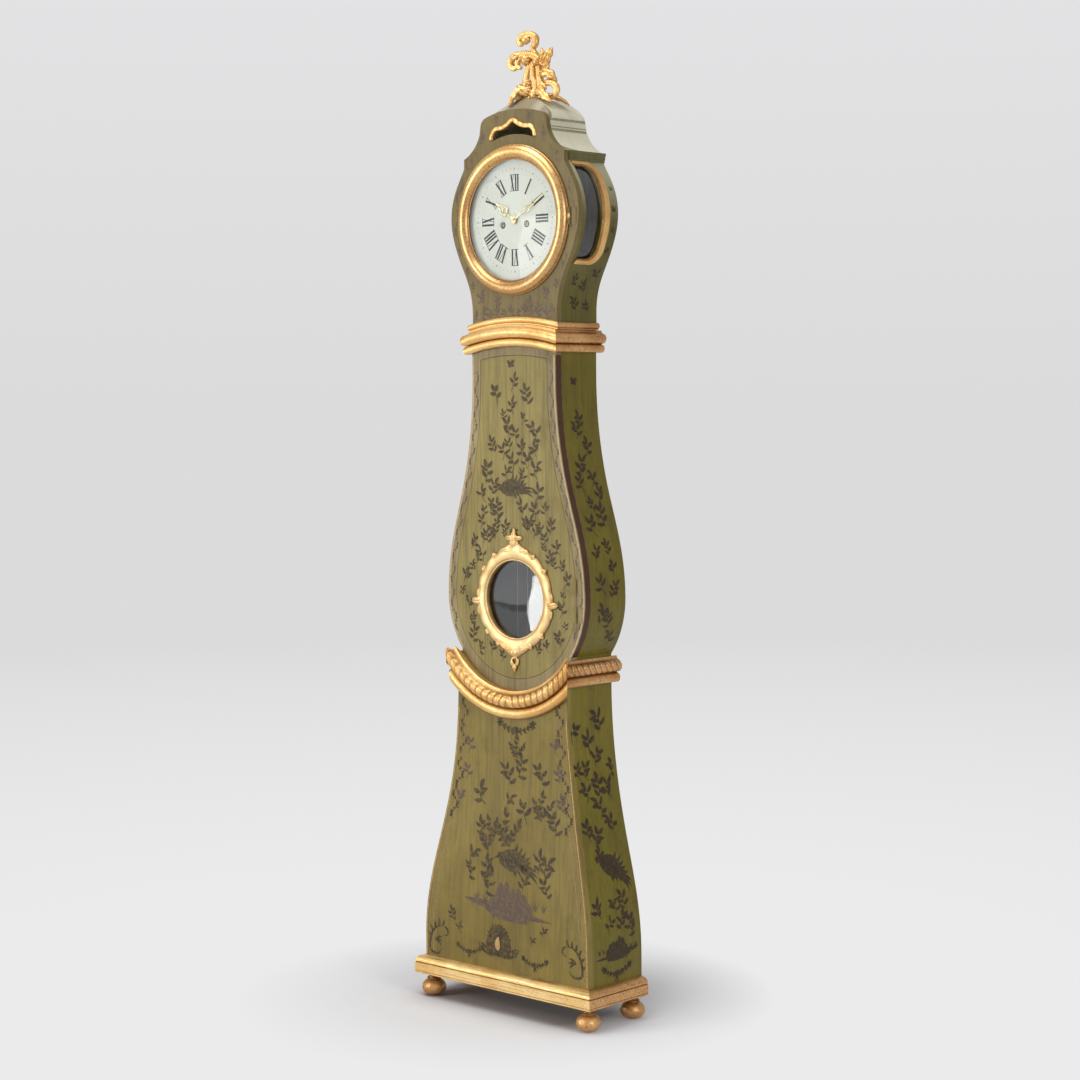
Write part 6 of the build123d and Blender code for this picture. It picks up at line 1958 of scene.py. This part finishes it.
@dataclass
class Brushwork:
    """All painted decoration: base, door and frame, trunk sides, hood."""

    finishes: Finishes
    trunk_face: float = 154.0
    hood_face: float = 149.0

    def within(self, outline: Outline, margin: float = 0.0) -> Edges:
        """Edges of a front, from its half width."""
        return lambda v: (margin - outline.at(v), outline.at(v) - margin)

    def between(self, back: float, front: Outline | float, margin: float = 0.0) -> Edges:
        """Edges of a side, from its back to its front."""
        far = front.at if isinstance(front, Outline) else (lambda v: np.full_like(v, front))
        return lambda v: (np.full_like(v, back + margin), far(v) - margin)

    def base(self) -> None:
        """Front and sides of the base."""
        half = Outline.of_side("base_sides", 60, 110, 850)
        depth = Outline.of_front("base_front_panel", 0, 110, 790)
        front = Painting("base_front_painting", "case", Field(depth), 11, self.within(half, 10))
        m = front.motifs
        front.put(m.swag(), (16, 738), 84)
        front.put(m.spray(), (20, 688), 56)
        front.sprigs([(-17, 616), (30, 640), (97, 625), (-100, 559), (1, 545)], 74)
        front.sprigs([(149, 505), (-97, 470), (-84, 425), (48, 522)], 74)
        front.put(m.spray(), (112, 544), 74, -6)
        front.put(m.spray(), (-2, 474), 88, 8)
        front.put(m.spray(), (-66, 470), 66, 24)
        front.put(m.bird(), (22, 386), 138)
        front.sprigs([(112, 402), (142, 392), (134, 340), (-138, 358)], 68)
        front.sprigs([(-120, 392), (-76, 330), (-66, 372), (66, 344)], 68)
        front.put(m.shell(), (-22, 182), 74)
        front.sprigs([(-190, 232), (-160, 200), (100, 200), (140, 230)], 44)
        front.put(m.scroll(), (-238, 158), 82)
        front.put(m.scroll(), (232, 172), 82, 0, -1)
        front.put(m.swag(), (-130, 146), 58)
        front.put(m.swag(), (105, 146), 58)
        for height in (765, 690, 600, 520):
            for hand in (-1, 1):
                front.put(m.vine(), (hand * (float(half.at(height)) - 26), height), 80, 4 * hand)
        front.build(self.finishes.stroke)
        rocks = Painting("base_front_rocks", "case", Field(depth), 14, self.within(half, 10))
        rocks.put(rocks.motifs.rock(), (8, 282), 158)
        for height in (700, 630, 560):
            away = float(half.at(height)) - 44
            rocks.put(rocks.motifs.sprig(), (away, height), 50, 10)
            rocks.put(rocks.motifs.sprig(), (-away, height - 22), 50, -10)
        rocks.build(self.finishes.violet)
        worn = Painting("base_front_streaks", "case", Field(depth, lift=0.1), 15, self.within(half, 0))
        for width, inset in ((3.0, 13.0), (2.0, 20.0), (4.0, 28.0), (1.6, 37.0)):
            worn.ruled(width, inset, 116, 770)
        worn.build(self.finishes.worn)
        lines = Painting("base_front_lines", "case", Field(depth, lift=0.62), 12, self.within(half, 0))
        lines.ruled(3.4, 4.5, 112, 775)
        lines.strokes.append((Form.LEAF, 19.0, (-23, 160), (-27, 170), (-27, 184), (-22, 196)))
        lines.build(self.finishes.line)
        sides = Painting("base_side_painting", "case", Field(half, sides=True), 13, self.between(4, depth, 8))
        sides.sprigs([(146, 735), (98, 706), (62, 762), (66, 668)], 66)
        sides.sprigs([(144, 640), (112, 640), (80, 600), (130, 585)], 66)
        sides.sprigs([(92, 545), (58, 505), (140, 492), (106, 470)], 68)
        sides.sprigs([(120, 432), (36, 590), (28, 640), (150, 300)], 68)
        sides.sprigs([(60, 312), (96, 300), (110, 252), (64, 262), (30, 250)], 62)
        sides.put(sides.motifs.bird(), (78, 388), 128, 24, -1)
        sides.put(sides.motifs.rock(), (88, 190), 92)
        sides.put(sides.motifs.swag(), (95, 138), 70)
        sides.build(self.finishes.brown)

    def trunk(self) -> None:
        """Door, frame and trunk sides."""
        half = Outline.of_side("trunk_sides", 60, 925, 1700)
        face = Field(Outline.level(self.trunk_face))
        door = Painting("door_painting", "door", face, 21, self.within(half, 40))
        m = door.motifs
        door.put(m.butterfly(), (-8, 1668), 34)
        door.sprigs([(-64, 1590), (-2, 1562), (45, 1590), (0, 1620), (-24, 1506), (4, 1486), (64, 1496)], 62)
        door.sprigs([(-45, 1443), (-12, 1416), (53, 1426), (84, 1400)], 70)
        door.sprigs([(-100, 1394), (-70, 1356), (-110, 1334), (78, 1338)], 70)
        door.put(m.bird(), (-4, 1346), 112, 10)
        door.sprigs([(70, 1292), (-60, 1300), (20, 1300), (-20, 1460), (30, 1455)], 56)
        for k, angle in enumerate(range(-60, 241, 25)):
            for further, near, size in ((0.0, 160 + 22 * (k % 2), 54), (12.5, 166 + 20 * (k % 2), 38)):
                turn = math.radians(angle) + math.radians(further)
                door.sprigs([(near * math.cos(turn), 1074 + (near - 2) * math.sin(turn))], size)
        door.sprigs([(-60, 1262), (58, 1262), (-122, 1262), (126, 1256)], 52)
        door.sprigs([(-148, 1210), (150, 1206), (-100, 1226), (102, 1222)], 52)
        door.sprigs([(-36, 1536), (30, 1530), (-76, 1462), (74, 1452)], 48)
        door.sprigs([(-20, 1392), (24, 1386), (-86, 1306), (40, 1262)], 48)
        door.sprigs([(-30, 1250), (-112, 1290), (108, 1300), (-8, 1226)], 46)
        door.sprigs([(-76, 1240), (86, 1250), (-134, 1170), (134, 1166)], 46)
        door.build(self.finishes.stroke, 7)
        frame_paint = Painting("frame_painting", "case", face, 22, self.within(half, 5))
        for height in range(1000, 1680, 62):
            for hand in (1, -1):
                lean = math.degrees(math.atan(float(half.slope(np.array(float(height))))))
                where = (hand * (float(half.at(height)) - 15), float(height))
                frame_paint.put(frame_paint.motifs.vine(2), where, 58, -hand * lean, 0.8)
        frame_paint.build(self.finishes.violet, 6)
        thin_face = Field(Outline.level(self.trunk_face), lift=0.12)
        rubbed = Painting("frame_rubbed_edges", "case", thin_face, 23, self.within(half, 0))
        rubbed.ruled(6.5, 4.0, 930, 1690)
        rubbed.build(self.finishes.tan)
        sides = Painting("trunk_side_painting", "case", Field(half, sides=True), 24, self.between(4, 128, 6))
        sides.put(sides.motifs.butterfly(), (88, 1622), 32)
        sides.sprigs([(76, 1524), (92, 1500), (58, 1458), (84, 1410)], 62)
        sides.sprigs([(58, 1378), (96, 1366), (36, 1336), (76, 1310)], 62)
        sides.sprigs([(46, 1286), (88, 1258), (54, 1206), (94, 1190), (44, 1150)], 64)
        sides.sprigs([(86, 1110), (40, 1098), (62, 1024), (92, 1040), (46, 975)], 64)
        sides.build(self.finishes.brown)
        strip = Field(half, sides=True, lift=0.15)
        band = Painting("frame_side_bands", "case", strip, 25, self.between(129.5, self.trunk_face))
        band.ruled(20.0, 11.5, 930, 1690, "last")
        band.build(self.finishes.edge)

    def hood(self) -> None:
        """Hood front and sides."""
        half = Outline.of_side("hood_sides", 127, 1765, 2170)
        board = Outline.of_side("hood_front_board", 141, 1765, 2312)
        face = Field(Outline.level(self.hood_face))
        front = Painting("hood_front_painting", "hood", face, 31, self.within(board, 6))
        m = front.motifs
        front.sprigs([(x, 1796 + 8 * (k % 2)) for k, x in enumerate(range(-132, 133, 24))], 38)
        front.sprigs([(-150, 1868), (150, 1868), (-112, 1842), (112, 1842)], 40)
        front.sprigs([(-60, 1826), (60, 1826), (-172, 1906), (172, 1906)], 40)
        for hand in (1, -1):
            front.put(m.vine(2), (hand * 203, 2034), 70, 0, 0.6)
            front.put(m.vine(2), (hand * 193, 1945), 70, hand * -22, 0.7)
            front.put(m.vine(2), (hand * 192, 2118), 66, hand * 20, 0.7)
            front.put(m.scroll(), (hand * 148, 2196), 46, 0, -hand)
            front.put(m.sprig(), (hand * 106, 2246), 34, hand * -20)
            front.put(m.sprig(), (hand * 56, 2291), 22, hand * -28)
        front.build(self.finishes.violet)
        # painted shade: dark lines along the steps of the roof, on both sides
        slope = Field(Outline.of_side("hood_roof", 60, 2206, 2340), sides=True, lift=0.15)
        roof = Painting("roof_step_shade_lines", "hood", slope, 33, self.between(0, self.hood_face))
        for level, width in ((2255.0, 7.0), (2263.0, 3.0), (2281.0, 7.0)):
            roof.strokes.append((Form.BAR, width, *((depth, level) for depth in (1.0, 50.0, 100.0, 133.0))))
        roof.build(self.finishes.groove)
        sides = Painting("hood_side_painting", "hood", Field(half, sides=True), 32, self.between(3, 131, 5))
        sides.sprigs([(40, 1812), (88, 1820), (60, 1862), (100, 1878), (30, 1890)], 48)
        sides.sprigs([(17, 1950), (14, 2000), (15, 2052), (14, 2104)], 30)
        sides.build(self.finishes.brown)

    def build(self) -> None:
        """Paints everything."""
        self.base()
        self.trunk()
        self.hood()


# ------------------------------------------------------------------ carried-over parts, studio, camera
@dataclass
class CaseDressing:
    """Finishes of the parts whose form comes over from the frame as it is."""

    finishes: Finishes

    def plan(self) -> list[tuple[Material, list[str]]]:
        """Which finish goes on which nodes."""
        f = self.finishes
        return [
            (f.front, ["base_front_panel"]),
            (f.door, ["door_panel", "door_hinges"]),
            (f.hood_front, ["hood_front_board", "hood_hinge_plate"]),
            # front frame: tan olive with painted sheen
            (f.border, ["trunk_front_frame", "frame_hinges"]),
            # the sides get the darker olive: painted shade
            (f.side, ["base_sides", "trunk_sides", "bottom_board"]),
            # hood sides: darker olive as painted shade, paler at the top from dust and painted glare
            (f.hood_side, ["hood_sides"]),
            # roof: pale from dust and painted glare
            (f.roof, ["hood_roof"]),
            (f.cornice, ["hood_cornices"]),
            # bare wood inside the case: dark as old wood and as painted shade
            (f.wood, ["backboard", "seat_board", "seat_cheeks"]),
            (f.glass, ["window_glass", "side_light_glass", "bezel_glass"]),
            (f.iron, ["door_lock", "lock_bolt", "hammer", "pendulum_rod", "pendulum_cock"]),
            (f.iron, ["going_weight", "strike_weight"]),
            (f.brass, ["back_plate", "front_plate", "plate_pillars"]),
            (f.brass, ["centre_wheel", "minute_wheel", "hour_wheel", "third_wheel", "escape_wheel"]),
            (f.brass, ["going_great_wheel", "strike_great_wheel", "pin_wheel"]),
            (f.brass, ["going_barrel", "strike_barrel", "pendulum_bob", "going_pulley", "strike_pulley"]),
            (f.bell, ["bell"]),
            (f.steel, ["anchor"]),
            (f.dial, ["dial"]),
            (f.gut, ["line_leads"]),
        ]

    def dress(self) -> None:
        """Puts each finish in its nodes' own material slots."""
        for finish, names in self.plan():
            for name in names:
                body = frame["nodes"][name]
                if not body.material_slots:
                    body.data.materials.append(finish)
                for slot in body.material_slots:
                    slot.material = finish
            LOG.info("%s on %s", finish.name, ", ".join(names))


@dataclass
class Softbox:
    """A rectangular lamp aimed at a point."""

    name: str
    place: Triple
    target: Triple
    size: tuple[float, float]
    power: float
    colour: Colour = (1.0, 1.0, 1.0)

    def build(self) -> None:
        """Makes the lamp."""
        lamp = bpy.data.lights.new(self.name, "AREA")
        lamp.shape = "RECTANGLE"
        lamp.size, lamp.size_y = self.size
        lamp.energy = self.power
        lamp.color = self.colour
        holder = bpy.data.objects.new(self.name, lamp)
        holder.location = self.place
        aim = Vector(self.target) - Vector(self.place)
        holder.rotation_euler = aim.to_track_quat("-Z", "Y").to_euler()
        bpy.context.scene.collection.objects.link(holder)


@dataclass
class Studio:
    """Pale studio: floor disc that fades into the backdrop, softboxes and camera."""

    backdrop: Colour = (0.71, 0.71, 0.715)
    upper: Colour = (0.79, 0.79, 0.805)
    ground: Colour = (0.83, 0.83, 0.84)
    floor: Colour = (0.80, 0.80, 0.81)
    # colour of the painted contact shadow round the clock's foot
    painted_contact_shadow: Colour = (0.33, 0.31, 0.33)
    painted_shadow_reach: float = 0.14
    middle: Triple = (-0.14, 0.04, 0.0)
    fade: tuple[float, float] = (0.34, 0.72)
    ambient: float = 0.30
    mirrored: float = 0.5
    radius: float = 14.0
    camera_place: Triple = (4.1287, -4.3798, 1.5902)
    azimuth: float = 0.7506064
    tilt: float = 0.0619364
    roll: float = -0.0072915
    lens: float = 78.03

    def seen(self, n: Nodes) -> Socket:
        """1 for rays from the camera, in a mirror or through glass."""
        path = n.tree.nodes.new("ShaderNodeLightPath").outputs
        seen = n.maths("MAXIMUM", path["Is Camera Ray"], path["Is Glossy Ray"])
        return n.maths("MAXIMUM", seen, path["Is Transmission Ray"])

    def build_floor(self) -> None:
        """Disc whose outer part shows the backdrop's own colour instead of its lit paint."""
        turn = np.linspace(0, 2 * math.pi, 96, endpoint=False)
        rim = np.stack([self.radius * np.cos(turn), self.radius * np.sin(turn), 0 * turn], -1)
        mesh = bpy.data.meshes.new("studio_floor")
        mesh.from_pydata(rim.tolist(), [], [list(range(96))])
        n = Nodes("studio_paint")
        n.set(Roughness=0.75, Specular_IOR_Level=0.2)
        # painted contact shadow: the floor's colour darkens where the AO node finds the clock close by
        hidden = n.add("AmbientOcclusion", {"Distance": self.painted_shadow_reach}).outputs["AO"]
        n.link(n.mix(n.remap(hidden, 0.25, 0.95), self.painted_contact_shadow, self.floor), "Base Color")
        spot = n.add("VectorMath", {0: n.coords, 1: self.middle}, operation="DISTANCE")
        away = spot.outputs["Value"]
        far = n.maths("MULTIPLY", n.remap(away, *self.fade), self.seen(n))
        shown = n.mix(n.remap(away, 1.6, 9.0), self.ground, self.backdrop)
        glow = n.add("Emission", {"Color": shown, "Strength": 1.0})
        mixed = n.add("MixShader", {0: far, 1: n.shader.outputs[0], 2: glow.outputs[0]})
        n.tree.links.new(mixed.outputs[0], n.tree.nodes["Material Output"].inputs["Surface"])
        mesh.materials.append(n.material)
        floor = bpy.data.objects.new("studio_floor", mesh)
        bpy.context.scene.collection.objects.link(floor)

    def build_world(self) -> None:
        """Backdrop for the rays that see it, even grey light for the rest."""
        n = SkyNodes("studio_world")
        n.link(n.mix(n.remap(n.height(), 0.0, 0.24), self.backdrop, self.upper), "Color")
        even = n.add("Background", {"Color": (1, 1, 1, 1), "Strength": self.ambient})
        path = n.add("LightPath", {}).outputs
        seen = n.maths("MAXIMUM", path["Is Camera Ray"], path["Is Transmission Ray"])
        seen = n.maths("MAXIMUM", seen, n.maths("MULTIPLY", path["Is Glossy Ray"], self.mirrored))
        mixed = n.add("MixShader", {0: seen, 1: even.outputs[0], 2: n.shader.outputs[0]})
        n.tree.links.new(mixed.outputs[0], n.tree.nodes["World Output"].inputs[0])

    def build_lamps(self) -> None:
        """Key from the front left, fill from the right, one overhead, and four cards for the glasses."""
        cool = (0.92, 0.95, 1.0)
        Softbox("key", (-2.55, -4.9, 2.3), (0, 0, 1.3), (1.9, 3.2), 150).build()
        Softbox("fill", (4.6, -1.0, 2.3), (0, 0, 1.2), (2.0, 3.2), 75).build()
        Softbox("overhead", (-0.4, -1.2, 5.2), (0, 0, 0.5), (2.6, 2.6), 110).build()
        Softbox("window_card", (-3.584, -4.41, 0.545), (0, 0, 0.9), (0.7, 0.27), 6.0).build()
        Softbox("dial_card", (-3.62, -4.41, 2.32), (0, 0, 1.9), (0.7, 0.34), 1.0).build()
        Softbox("haze_high", (-4.22, -4.20, 0.66), (0, 0, 0.9), (0.55, 0.28), 0.55, cool).build()
        Softbox("haze_low", (-4.22, -4.20, 0.40), (0, 0, 0.9), (0.55, 0.18), 0.16, cool).build()

    def build_camera(self) -> None:
        """Camera turned by its azimuth, tilted down and rolled a little."""
        right = Vector((math.cos(self.azimuth), math.sin(self.azimuth), 0))
        level = Vector((-math.sin(self.azimuth), math.cos(self.azimuth), 0))
        up = Vector((0, 0, 1))
        ahead = level * math.cos(self.tilt) - up * math.sin(self.tilt)
        above = up * math.cos(self.tilt) + level * math.sin(self.tilt)
        axis_x = right * math.cos(self.roll) + above * math.sin(self.roll)
        axis_y = above * math.cos(self.roll) - right * math.sin(self.roll)
        turned = Matrix((axis_x, axis_y, -ahead)).transposed().to_4x4()
        lens = bpy.data.cameras.new("camera")
        lens.lens, lens.sensor_width, lens.clip_end = self.lens, 36.0, 100.0
        camera = bpy.data.objects.new("camera", lens)
        camera.matrix_world = Matrix.Translation(self.camera_place) @ turned
        bpy.context.scene.collection.objects.link(camera)
        bpy.context.scene.camera = camera

    def build(self) -> None:
        """Sets up the whole studio."""
        self.build_floor()
        self.build_world()
        self.build_lamps()
        self.build_camera()
        bpy.context.scene.view_settings.view_transform = "Standard"


def mouldings() -> list[CarvedMoulding]:
    """Waist and neck mouldings: the waist swoops under the bulb, the neck arches over the trunk."""
    waist = CarvedMoulding(
        "waist_moulding", "case", Bend.SWOOP, half=192, face=170, back=-14, low=854, height=68,
        front_height=72, reach=24, centre_z=1074, radius=313.5, pitch=19, carving=2.0,
        tail=((72, -16), (43.5, -16), (43.5, 0)),
    )
    neck = CarvedMoulding(
        "neck_moulding", "case", Bend.ARCH, half=146, face=154, back=-14, low=1696, height=57,
        front_height=57, reach=23, centre_z=1077.6, radius=635.4, pitch=30, carving=0.5, hollow_darkening=0.25,
    )
    return [waist, neck]


def main() -> None:
    """Builds the clock from the floor up, then the studio."""
    logging.basicConfig(level=logging.INFO, format="%(message)s")
    finishes = Finishes()
    CaseDressing(finishes).dress()
    for piece in (BallFeet(), Plinth(), *mouldings(), WindowFrame(), HoodBead(), ApertureBorder(), Bezel()):
        piece.build(finishes)
    SideLightLoops().build(finishes, Outline.of_side("hood_sides", 127, 1765, 2200))
    Cresting().build(finishes)
    Hands().build(finishes)
    WeightLines().build(finishes)
    Numerals().build(finishes)
    Brushwork(finishes).build()
    Studio().build()


if __name__ == "__main__":
    main()
